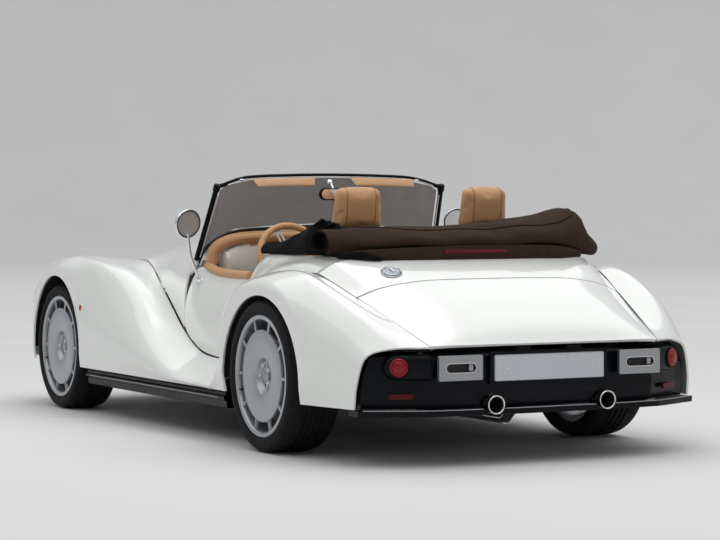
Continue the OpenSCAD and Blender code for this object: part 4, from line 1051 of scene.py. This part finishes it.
# rows of [y, front x, rear x, top z, lower edge z]
HOOD = [[-.746, -1.150, -1.212, .872, .850], [-.736, -1.110, -1.238, .892, .836],
        [-.702, -1.050, -1.268, .924, .832], [-.668, -1.015, -1.292, .952, .835],
        [-.642, -.998, -1.303, .990, .838], [-.618, -.988, -1.314, 1.026, .844],
        [-.570, -.985, -1.336, 1.022, .857], [-.510, -.990, -1.356, 1.007, .869],
        [-.430, -1.002, -1.388, .990, .882], [-.330, -1.018, -1.405, .975, .884],
        [-.220, -1.030, -1.416, .964, .882], [0, -1.030, -1.424, .951, .880],
        [.160, -1.030, -1.418, .947, .878], [.320, -1.035, -1.400, .948, .874],
        [.440, -1.045, -1.362, .951, .868], [.530, -1.065, -1.310, .948, .860],
        [.592, -1.082, -1.272, .944, .855], [.624, -1.090, -1.258, .940, .852]]
ROLL_V = np.linspace(0, 9, 55)


def roll_section(y):
    """Outline of the folded roll across the car at y, from its front tuck over the top to its rear tuck."""
    front, back, top, low = line_at([r[:4] for r in HOOD], y).tolist() + [float(np.interp(y,
            [r[0] for r in HOOD], [r[4] for r in HOOD]))]
    mid = (front + back) / 2
    span = front - back
    rows = [[front - .22 * span, low + .010], [front - .08 * span, low + .012],
            [front, low + .42 * (top - low)], [front - .07 * span, top - .20 * (top - low)],
            [front - .30 * span, top - .015 * (top - low)], [mid - .12 * span, top],
            [back + .17 * span, top - .13 * (top - low)], [back, low + .45 * (top - low)],
            [back + .012, low + .02 * (top - low)], [back + .22 * span, low - .004]]
    table = [[i, x, y, z] for i, (x, z) in enumerate(rows)]
    return np.array([line_at(table, v) for v in ROLL_V])


ys = np.concatenate([np.linspace(-.746, -.40, 46), np.linspace(-.39, .624, 74)])
roll = np.array([roll_section(y) for y in ys])
sag = np.array([[.0035 * math.sin(y * 21 + v * .6) * math.sin(v * .7) for v in ROLL_V] for y in ys])
roll[:, :, 2] += sag
roll = crumple(roll, .0055, (5.5, 3.2, 16.0), 3.0)
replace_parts(sheet("hood_roll", roll, .0038, CANVAS), "soft_top")
inner = roll - normals(roll) * .0060
sheet("hood_roll_lining", inner[2:-1, 3:-2], .0018, CANVAS_IN)

# overlapping flap of canvas on the right-hand side
k0, k1 = 21, 108
lift = np.interp(ys[k0:k1], [-.60, -.50, -.22, .20, .45], [.003, .008, .006, .003, .001])
last = np.interp(ys[k0:k1], [-.60, -.50, -.20, .45], [36.0, 37.5, 36.5, 31.5])
raised = roll + normals(roll) * .0045
flap = []
for k, up, end in zip(range(k0, k1), lift, last):
    row = []
    for t in np.linspace(0, 1, 20):
        v = 20 + (end - 20) * t
        i = int(v)
        row.append(raised[k, i] * (1 - v + i) + raised[k, i + 1] * (v - i)
                   + np.array([-up * .5 * t, 0, up * (1 - t ** 6)]))
    flap.append(row)
flap = np.array(flap)
sheet("hood_flap", flap, .0030, CANVAS)

# black binding along the edge of the fin
ridge = [Vector(p) for p in (roll + normals(roll) * .0040)[0:22, 30]]
tube("hood_edge_binding", ridge, .0052, CANVAS_IN, steps=12)
hem = [Vector(roll[k, 50]) + Vector((-.001, 0, -.002)) for k in range(0, len(ys), 2)]
tube("hood_hem", hem, .0032, CANVAS_IN, steps=10)
mouth = [Vector(p) for p in roll[-1, 2:-1]]
tube("hood_roll_end_piping", mouth, .0040, CANVAS_IN, steps=10)

# band that carries the brake lamp
BAND = [[-.590, -1.322, .826, .842], [-.50, -1.366, .820, .862], [-.38, -1.398, .816, .874],
        [-.20, -1.414, .814, .878], [0, -1.419, .814, .879], [.20, -1.414, .815, .875],
        [.38, -1.396, .818, .868], [.50, -1.364, .823, .862], [.600, -1.300, .830, .852]]
band_y = np.linspace(-.590, .600, 90)
band = np.array([[(x - .006 * math.sin(t * math.pi), y, low + (top - low) * t) for t in np.linspace(0, 1, 11)]
                 for y, (x, low, top) in [(y, line_at(BAND, y)) for y in band_y]])
band = crumple(band, .0016, (6, 4, 20), 9.0)
sheet("hood_band", band[:, ::-1], .0050, CANVAS)
tube("hood_band_seal", [Vector(p) + Vector((0, 0, -.001)) for p in band[:, 0]], .0052, SEAL, steps=10)
rows = []
for y in np.linspace(.440, .612, 36):
    q = line_at(BAND, y)
    reach = float(np.interp(y, [.440, .47, .52, .612], [.12, .50, .90, 1.20]))
    rows.append([(q[0] - .0105 - .005 * math.sin(t * math.pi) + .003 * math.sin(y * 60 + t * 4), y,
                  q[1] - .001 + (q[2] - q[1]) * t * reach) for t in np.linspace(0, 1, 12)])
sheet("hood_gusset_left", np.array(rows)[:, ::-1], .0030, CANVAS_IN)
strip_y = np.linspace(-.159, .159, 48)
lamp = np.array([[(line_at(BAND, y)[0] - .0128 - .004 * math.sin(t * math.pi), y * (1 - .05 * t),
                   .8445 + .0165 * t) for t in np.linspace(0, 1, 9)] for y in strip_y])
slab("high_brake_lamp", lamp[:, ::-1], lamp[:, ::-1] + np.array([.008, 0, 0]), RED_STRIP, edge=.0008)
bits = []
for k in range(23):
    y = (k - 11) * .0132
    x = line_at(BAND, y)[0] - .0170
    bits.append(lathe("dot", [(.0002, -.001), (.0042, -.001), (.0036, .0012), (.0002, .0018)], RED_LENS, ROOT,
                      frame_matrix((x, y, .8525), (-1, 0, 0), (0, 1, 0)), 16))
joined("high_brake_lamp_lights", bits)

# black lining and side links at both front corners
LINE_TOP = [[-.545, .868], [-.560, .884], [-.640, .889], [-.720, .890], [-.800, .906], [-.900, .934],
            [-1.00, .962], [-1.075, .985], [-1.120, .992], [-1.150, .972], [-1.190, .980], [-1.225, .935],
            [-1.270, .895]]
for side, sign in SIDES:
    xs = np.linspace(-.548, -1.268, 78)
    rows = []
    for x in xs:
        top = float(np.interp(-x, [-q[0] for q in LINE_TOP], [q[1] for q in LINE_TOP]))
        if sign < 0:
            top += float(np.interp(-x, [.9, 1.0, 1.2, 1.29], [0, .015, .035, .03]))
        low = .8365
        tuck = .038 * min(1, max(0, (-1.02 - x) / .09))
        row = []
        for t in np.linspace(0, 1, 22):
            y = .606 - tuck - .030 * t ** 2 + .008 * math.sin(t * math.pi) + .006 * math.sin(x * 26 + t * 5) * t
            row.append((x, sign * y, low + (top - low) * min(1, t * 1.12) - max(0, t - .89) * .35))
        rows.append(row)
    grid = np.array(rows)
    grid = crumple(grid, .0035, (9, 5, 14), 5.0 + sign)
    thin = grid if sign > 0 else grid[:, ::-1]
    sheet(f"hood_lining_{side}", thin, .0030, CANVAS_IN)
    tube(f"hood_link_{side}_a", [(-.60, sign * .580, .862), (-.95, sign * .582, .935),
                                 (-1.112, sign * .580, .990)], [.010, .009, .011], SATIN_BLACK, steps=12,
         flat=.5)
    tube(f"hood_link_{side}_b", [(-.74, sign * .565, .860), (-1.00, sign * .566, .925),
                                 (-1.185, sign * .560, .975)], [.009, .009, .010], SATIN_BLACK, steps=12,
         flat=.5)
    lathe(f"hood_pivot_{side}_a", [(.0003, -.010), (.0085, -.010), (.0090, .008), (.0050, .011),
                                   (.0003, .011)], SATIN_BLACK, ROOT, frame_matrix((-1.105, sign * .575, .986),
          (0, sign, .3), (1, 0, 0)), 32)
    lathe(f"hood_pivot_{side}_b", [(.0003, -.010), (.0075, -.010), (.0080, .008), (.0045, .010),
                                   (.0003, .010)], SATIN_BLACK, ROOT, frame_matrix((-1.180, sign * .556, .970),
          (0, sign, .3), (1, 0, 0)), 32)
for k, (x, z, half) in enumerate(((-1.075, .952, .52), (-1.135, .958, .50))):
    tube(f"hood_bow_{k}", curve([(x, -half, z + .020), (x, -half * .5, z - .010), (x, 0, z - .028),
                                 (x, half * .5, z - .018), (x, half, z - .006)], 40), .0085, SATIN_BLACK,
         steps=12)


# ---------------------------------------------------------------- padded leather
PRESSURE, SIM_STEPS = 4.0, 20


def inflate(o, voxel, cap):
    """Blow a closed mesh up a little, as stuffed leather is, with the cloth solver."""
    r = o.modifiers.new("remesh", "REMESH")
    r.mode = "VOXEL"
    r.voxel_size = voxel
    bake(o)
    start = np.array([v.co for v in o.data.vertices])
    c = o.modifiers.new("cloth", "CLOTH")
    c.settings.use_pressure = True
    c.settings.uniform_pressure_force = PRESSURE
    c.settings.effector_weights.gravity = 0
    c.settings.quality = 4
    c.point_cache.frame_start = 1
    c.point_cache.frame_end = SIM_STEPS
    scene = bpy.context.scene
    for frame_number in range(1, SIM_STEPS + 1):
        scene.frame_set(frame_number)
    depsgraph = bpy.context.evaluated_depsgraph_get()
    evaluated = o.evaluated_get(depsgraph)
    end = np.array([v.co for v in evaluated.data.vertices])
    o.modifiers.remove(c)
    scene.frame_set(1)
    move = end - start
    size = np.linalg.norm(move, axis=1, keepdims=True)
    move *= np.minimum(1, cap / np.maximum(size, 1e-9))
    o.data.vertices.foreach_set("co", (start + move).ravel())
    q = o.modifiers.new("soft", "SMOOTH")
    q.iterations = 4
    q.factor = 0.5
    sub = o.modifiers.new("finer", "SUBSURF")
    sub.levels = sub.render_levels = 1
    bake(o)
    o.data.polygons.foreach_set("use_smooth", [True] * len(o.data.polygons))
    return o


def bake(o):
    bpy.context.view_layer.update()
    depsgraph = bpy.context.evaluated_depsgraph_get()
    new = bpy.data.meshes.new_from_object(o.evaluated_get(depsgraph))
    old = o.data
    o.modifiers.clear()
    o.data = new
    new.name = old.name
    bpy.data.meshes.remove(old)


def pad(name, centre, size, look, lean=0.0, narrow=0.0, round_by=0.16, grid_n=10):
    """Rounded block (x depth, y width, z height) leaning back by lean degrees, its top narrower."""
    bm = bmesh.new()
    bmesh.ops.create_cube(bm, size=1.0)
    bmesh.ops.subdivide_edges(bm, edges=bm.edges, cuts=grid_n, use_grid_fill=True)
    d, w, h = size
    r = min(d, w, h) * round_by * 2
    for v in bm.verts:
        p = Vector((v.co.x * d, v.co.y * w, v.co.z * h))
        core = Vector((max(-d / 2 + r, min(d / 2 - r, p.x)), max(-w / 2 + r, min(w / 2 - r, p.y)),
                       max(-h / 2 + r, min(h / 2 - r, p.z))))
        away = p - core
        if away.length > 1e-9:
            p = core + away.normalized() * min(away.length, r)
        p.y *= 1 - narrow * (p.z / h + 0.5)
        v.co = p
    m = Matrix.Translation(Vector(centre)) @ Matrix.Rotation(math.radians(lean), 4, "Y")
    bm.transform(m)
    me = bpy.data.meshes.new(name)
    bm.to_mesh(me)
    bm.free()
    me.materials.append(look)
    o = bpy.data.objects.new(name, me)
    bpy.context.scene.collection.objects.link(o)
    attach(o, ROOT)
    return o, m


def seam(name, points, look, body=ROOT, r=.0016):
    return tube(name, points, r, look, body, steps=8)


for side, sign in SIDES:
    # headrest: tapered pad with two upright seams round its back and top
    rest, m = pad(f"headrest_pad_{side}", (-.930, sign * .320, 1.038), (.080, .236, .184), TAN, lean=-8,
                  narrow=.13, round_by=.20, grid_n=14)
    inflate(rest, .006, .006)
    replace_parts(rest, f"headrest_{side}")
    bpy.context.view_layer.update()
    for k, dy in enumerate((-.072, .072)):
        pts = []
        for a in np.linspace(-0.42, 1.30, 34) * math.pi:
            start = m @ Vector((.20 * math.cos(a + math.pi), dy, .30 * math.sin(a)))
            goal = m @ Vector((0, dy * .96, 0))
            hit, at, out, _ = rest.ray_cast(start, (goal - start).normalized())
            if hit:
                pts.append(at + out * .0002)
        seam(f"headrest_seam_{side}_{k}", pts, TAN_DARK, r=.0017)
    for k, dy in enumerate((-.05, .05)):
        tube(f"headrest_post_{side}_{k}", [(-.862, sign * .320 + dy, .885), (-.898, sign * .320 + dy, .935),
                                           (-.918, sign * .320 + dy, .965)], .0062, CHROME, steps=14)
    # seat: cushion, back and side bolsters
    base, _ = pad(f"seat_cushion_{side}", (-.385, sign * .320, .295), (.395, .300, .092), TAN, lean=7,
                  round_by=.30)
    inflate(base, .0125, .012)
    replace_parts(base, f"seat_{side}")
    back, mb = pad(f"seat_back_{side}", (-.768, sign * .320, .640), (.088, .300, .575), TAN, lean=-18,
                   round_by=.30)
    inflate(back, .0125, .012)
    for k, dy in enumerate((-1, 1)):
        bolster, _ = pad(f"seat_back_bolster_{side}_{k}", (-.750, sign * .320 + dy * .182, .628),
                         (.110, .066, .540), TAN, lean=-18, round_by=.42, grid_n=8)
        inflate(bolster, .0115, .008)
        thigh, _ = pad(f"seat_thigh_bolster_{side}_{k}", (-.375, sign * .320 + dy * .182, .302),
                       (.400, .066, .112), TAN, lean=7, round_by=.42, grid_n=8)
        inflate(thigh, .0115, .008)
    for k in range(4):
        z = -.17 + k * .105
        line = [mb @ Vector((.06, y, z)) for y in np.linspace(-.135, .135, 22)]
        pts = []
        for p in line:
            way = (mb.to_3x3() @ Vector((-1, 0, 0))).normalized()
            hit, at, out, _ = back.ray_cast(p, way)
            if hit:
                pts.append(at)
        if len(pts) > 4:
            seam(f"seat_back_seam_{side}_{k}", pts, TAN_DARK)
    shell = strip(f"seat_shell_{side}", [(-.205, .000), (.205, .000), (.205, .020), (-.205, .020)],
                  [0, .55], SATIN_BLACK)
    shell.data.transform(Matrix.Translation((-.822, sign * .320, .345))
                         @ Matrix.Rotation(math.radians(-18 - 90), 4, "Y"))
    box(f"seat_runner_{side}", (-.60, sign * .320 - .17, .180), (-.20, sign * .320 + .17, .236), SATIN_BLACK,
        edge=.006)

# ---------------------------------------------------------------- dashboard and trim
def dash_section(y):
    top = float(np.interp(abs(y), [0, .34, .44, .52, .566], [.906, .902, .886, .862, .832]))
    return [(.080, .612), (.080, top - .012), (.060, top), (-.020, top + .002), (-.052, top - .006),
            (-.064, top - .030), (-.060, .760), (-.030, .640), (-.018, .612)]


ys = np.linspace(-.566, .566, 48)
grid = np.array([[(x, y, z) for x, z in dash_section(y)] for y in ys])
faces = ring_faces(len(ys), grid.shape[1], capped=True)
dash = mesh_object("dash_shell", grid.reshape(-1, 3), faces, [CREAM, TAN], crease=35)
for p in dash.data.polygons:
    p.material_index = 1 if p.center.z > .868 else 0
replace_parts(dash, "dashboard")
path = [(.004, -.612, .780), (.000, -.609, .826), (-.018, -.582, .866), (-.045, -.512, .893),
        (-.054, -.40, .902), (-.056, -.20, .906), (-.056, 0, .908), (-.056, .20, .906), (-.054, .40, .902),
        (-.045, .512, .893), (-.018, .582, .866), (.000, .609, .826), (.004, .612, .780)]
line = curve(path, 120)
roll_pad = tube("dash_roll", line, .0285, TAN, steps=24)
for k, turn in enumerate((2.2, 3.3)):
    offset = Vector((math.cos(turn) * .0286, 0, math.sin(turn) * .0286))
    seam(f"dash_roll_seam_{k}", [p + offset for p in line[24:-24]], TAN_DARK, r=.0013)
# instrument panel in the middle, with four dials on it
face = axes(((0, 0, -1), (-1, 0, 0), (0, 1, 0)), (-.0605, 0, .800))
prism("instrument_panel", rounded(.36, .110, .020), -.006, .006, SATIN_METAL, place=face, edge=.002)
for k, (y, z, r) in enumerate(((-.125, .800, .036), (-.042, .800, .036), (.042, .800, .036),
                               (.125, .800, .036))):
    spot = face.copy()
    spot.translation = Vector((-.0665, y, z))
    lathe(f"dial_rim_{k}", [(r - .006, .0), (r, .0), (r, .006), (r - .003, .009), (r - .006, .006)], CHROME,
          ROOT, spot, 64)
    lathe(f"dial_face_{k}", [(.0003, .0005), (r - .0055, .0005), (r - .0055, .0025), (.0003, .0025)], DIAL,
          ROOT, spot, 64)
    marks = [box("mark", (r - .014, -.0006, .0025), (r - .0085, .0006, .0031), PLATE, ROOT, 0,
                 spot @ Matrix.Rotation(math.radians(-40 + j * 26), 4, "Z")) for j in range(11)]
    marks.append(box("needle", (-.004, -.0008, .0030), (r - .012, .0008, .0038), RED_LENS, ROOT, 0,
                     spot @ Matrix.Rotation(math.radians(20 + 47 * k), 4, "Z")))
    joined(f"dial_marks_{k}", marks)
for k in range(7):
    y = -.135 + k * .045
    box(f"dash_switch_{k}", (-.0085, -.0055, 0), (.0085, .0055, .008), SATIN_BLACK, ROOT, .0015,
        Matrix.Translation((-.058, y, .722)) @ Matrix.Rotation(math.radians(-80), 4, "Y"))

# door linings with a padded top rail
for side, sign in SIDES:
    body = f"{side}_door"
    g = surface(DOOR, np.linspace(.22, 4.80, 36), np.linspace(.12, 2.25, 18))
    way = normals(g)
    lining = slab(f"door_lining_{side}", *[(q if sign > 0 else mirror_y(q))
                                           for q in (g - way * .0635, g - way * .0685)], CREAM, body, edge=.001)
    rail = [(.012, .628, .768), (-.050, .630, .752), (-.130, .631, .741), (-.240, .632, .735),
            (-.360, .632, .733), (-.486, .630, .733)]
    rail = [(x, sign * y, z) for x, y, z in rail]
    top = tube(f"door_top_pad_{side}", curve(rail, 60), [.022 + .004 * min(1, k / 6) for k in range(60)], TAN,
               body, steps=24, flat=.82)
    seam(f"door_top_seam_{side}", [p + Vector((0, -sign * .0235, -.004)) for p in curve(rail, 60)], TAN_DARK,
         body, .0014)
    pull = [(-.20, sign * .592, .600), (-.24, sign * .572, .598), (-.30, sign * .572, .598),
            (-.34, sign * .592, .600)]
    tube(f"door_pull_{side}", curve(pull, 24), .008, TAN, body, steps=14)
    lathe(f"door_release_{side}", [(.0003, -.002), (.016, -.002), (.0165, .003), (.012, .008), (.0003, .010)],
          CHROME, body, frame_matrix((-.06, sign * .600, .610), (0, -sign, 0), (0, 0, 1)), 40)
    # kick panel ahead of the door
    prism(f"kick_panel_{side}", [(.030, .36), (.250, .36), (.250, .66), (.180, .790), (.030, .800)], .578,
          .588, CREAM, place=on_edge(sign), edge=.003)

# floor, tunnel, shelf and luggage space
for side, sign in SIDES:
    box(f"floor_carpet_{side}", (-.745, min(sign * .082, sign * .605), .1775),
        (.250, max(sign * .082, sign * .605), .1835), CARPET, edge=.002)
    box(f"floor_mat_{side}", (-.150, sign * .335 - .185, .184), (.210, sign * .335 + .185, .190), MAT,
        edge=.002)
    box(f"inner_sill_{side}", (-.745, min(sign * .600, sign * .609), .184),
        (.250, max(sign * .600, sign * .609), .345), CARPET, edge=.003)
strip("tunnel_cover", [(-.086, .184), (-.086, .340), (-.070, .366), (-.045, .374), (.045, .374), (.070, .366),
                       (.086, .340), (.086, .184)], list(np.linspace(-.90, .25, 24)), CARPET)
box("tunnel_pad", (-.62, -.062, .374), (-.30, .062, .398), TAN, edge=.010)
lathe("gear_gaiter", [(.0003, .372), (.050, .372), (.046, .384), (.038, .390), (.034, .400), (.026, .406),
                      (.021, .418), (.014, .424), (.0003, .426)], TAN_DARK, ROOT,
      Matrix.Translation((-.215, 0, 0)), 48)
tube("gear_lever", [(-.215, 0, .41), (-.222, 0, .46), (-.228, 0, .505)], .0055, CHROME, steps=14)
lathe("gear_knob", [(.0003, -.020), (.012, -.018), (.020, -.008), (.0225, .004), (.018, .017), (.0003, .022)],
      SATIN_METAL, ROOT, Matrix.Translation((-.230, 0, .520)), 48)
tube("hand_brake", curve([(-.18, .045, .380), (-.26, .046, .412), (-.34, .046, .425)], 16), [.009] * 16,
     SATIN_BLACK, steps=14)
for k, y in enumerate((.250, .330, .410)):
    box(f"pedal_{k}", (-.004, -.028, -.030), (.004, .028, .030), SATIN_METAL, ROOT, .003,
        Matrix.Translation((.130, y, .300)) @ Matrix.Rotation(math.radians(25), 4, "Y"))
    tube(f"pedal_arm_{k}", curve([(.134, y, .315), (.165, y, .400), (.185, y, .520)], 14), .006, SATIN_BLACK,
         steps=10)
box("footwell_carpet", (.248, -.585, .184), (.256, .585, .685), CARPET, edge=.002)
box("rear_shelf", (-1.385, -.540, .790), (-.905, .540, .800), CARPET, edge=.003)
box("rear_bulkhead_trim", (-.934, -.560, .184), (-.925, .560, .792), CARPET, edge=.003)
box("boot_floor", (-1.950, -.500, .330), (-1.500, .500, .338), CARPET, edge=.002)
box("boot_front_wall", (-1.508, -.500, .338), (-1.500, .500, .690), CARPET, edge=.002)
for side, sign in SIDES:
    prism(f"boot_side_{side}", [(-1.508, .338), (-1.508, .640), (-1.76, .545), (-1.945, .468), (-1.945, .338)],
          .495, .503, CARPET, place=on_edge(sign), edge=0)

# ---------------------------------------------------------------- hand wheel
lean = math.radians(68)
hand = frame_matrix((-.370, .370, .805), (-math.sin(lean), 0, math.cos(lean)),
                    (math.cos(lean), 0, math.sin(lean)))
ring = [hand @ Vector((.164 * math.cos(a), .164 * math.sin(a), 0)) for a in np.linspace(0, 2 * math.pi,
        121)[:-1]]
rim = tube("hand_wheel_rim", ring, [.0150 + .0008 * (math.sin(k * math.pi / 5) > .9) for k in range(120)], TAN,
           "hand_wheel", closed=True, steps=24)
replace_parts(rim, "steering_wheel")
inner_ring = [hand @ Vector((.1500 * math.cos(a), .1500 * math.sin(a), 0))
              for a in np.linspace(0, 2 * math.pi, 121)[:-1]]
tube("hand_wheel_stitching", inner_ring, .0012, TAN_DARK, "hand_wheel", closed=True, steps=8)
for k, a in enumerate((20, 160, 270)):
    turn = hand @ Matrix.Rotation(math.radians(a), 4, "Z")
    window_plate(f"hand_wheel_spoke_{k}", [(x + .090, y) for x, y in rounded(.128, .030, .004)],
                 [(x + .092, y) for x, y in rounded(.080, .012, .0055)], -.008, -.004, SATIN_METAL,
                 "hand_wheel", turn, .001)
lathe("hand_wheel_hub", [(.0003, -.034), (.034, -.034), (.037, -.020), (.037, -.002), (.033, .004),
                         (.020, .007), (.0003, .008)], SATIN_BLACK, "hand_wheel", hand, 64)
lathe("hand_wheel_boss_ring", [(.0200, .0062), (.0240, .0056), (.0240, .0076), (.0215, .0086), (.0200, .0080)],
      CHROME, "hand_wheel", hand, 64)
for k, dy in enumerate((-1, 1)):
    base = hand @ Vector((.01, dy * .040, -.100))
    tip = hand @ Vector((.02, dy * .135, -.085))
    tube(f"column_stalk_{k}", [base, base.lerp(tip, .5), tip], [.007, .0085, .011], SATIN_BLACK, steps=14)

# ---------------------------------------------------------------- studio: floor that curves up into a pale wall
sweep = [(.001, 0), (5, 0), (15, 0), (30, 0)]
sweep += [(30 + 10 * math.sin(a), 10 - 10 * math.cos(a)) for a in np.linspace(.10, math.pi / 2, 16)]
sweep += [(40, 13)]
turns = 120
verts = [(r * math.cos(a), r * math.sin(a), z) for r, z in sweep for a in np.arange(turns) * 2
         * math.pi / turns]
mesh_object("studio_floor", verts, ring_faces(len(sweep), turns), FLOOR)

world = bpy.data.worlds.new("studio")
bpy.context.scene.world = world
world.use_nodes = True
world.node_tree.nodes["Background"].inputs["Color"].default_value = (0.86, 0.87, 0.88, 1)
world.node_tree.nodes["Background"].inputs["Strength"].default_value = 0.62


def area_light(name, place, target, size, power, shape_y=None):
    data = bpy.data.lights.new(name, "AREA")
    data.energy = power
    data.shape = "RECTANGLE"
    data.size = size
    data.size_y = shape_y or size
    o = bpy.data.objects.new(name, data)
    o.location = place
    o.rotation_euler = (Vector(target) - Vector(place)).to_track_quat("-Z", "Y").to_euler()
    bpy.context.scene.collection.objects.link(o)
    return o


area_light("ceiling_softbox", (2.0, -2.0, 22.0), (2.0, -2.0, 0), 50.0, 5900)
area_light("top_softbox", (-0.8, 0.0, 4.6), (-.8, 0, 0), 5.0, 45, 2.2)

# ---------------------------------------------------------------- camera: behind the car, to its left
CAMERA_AT = (-10.3666, 5.1159, 1.0678)
LENS, SENSOR = 119.66, 36.0
YAW, PITCH, ROLL = math.radians(27.006), math.radians(1.636), math.radians(-0.1655)
look = Vector((math.cos(PITCH) * math.cos(YAW), -math.cos(PITCH) * math.sin(YAW), -math.sin(PITCH)))
across = look.cross(Vector((0, 0, 1))).normalized()
upward = across.cross(look)
x_axis = across * math.cos(ROLL) + upward * math.sin(ROLL)
y_axis = (-look).cross(x_axis)
camera_data = bpy.data.cameras.new("camera")
camera_data.lens, camera_data.sensor_width = LENS, SENSOR
camera = bpy.data.objects.new("camera", camera_data)
placing = Matrix((x_axis, y_axis, -look)).transposed().to_4x4()
placing.translation = Vector(CAMERA_AT)
camera.matrix_world = placing
bpy.context.scene.collection.objects.link(camera)
bpy.context.scene.camera = camera
bpy.context.scene.view_settings.view_transform = "Standard"
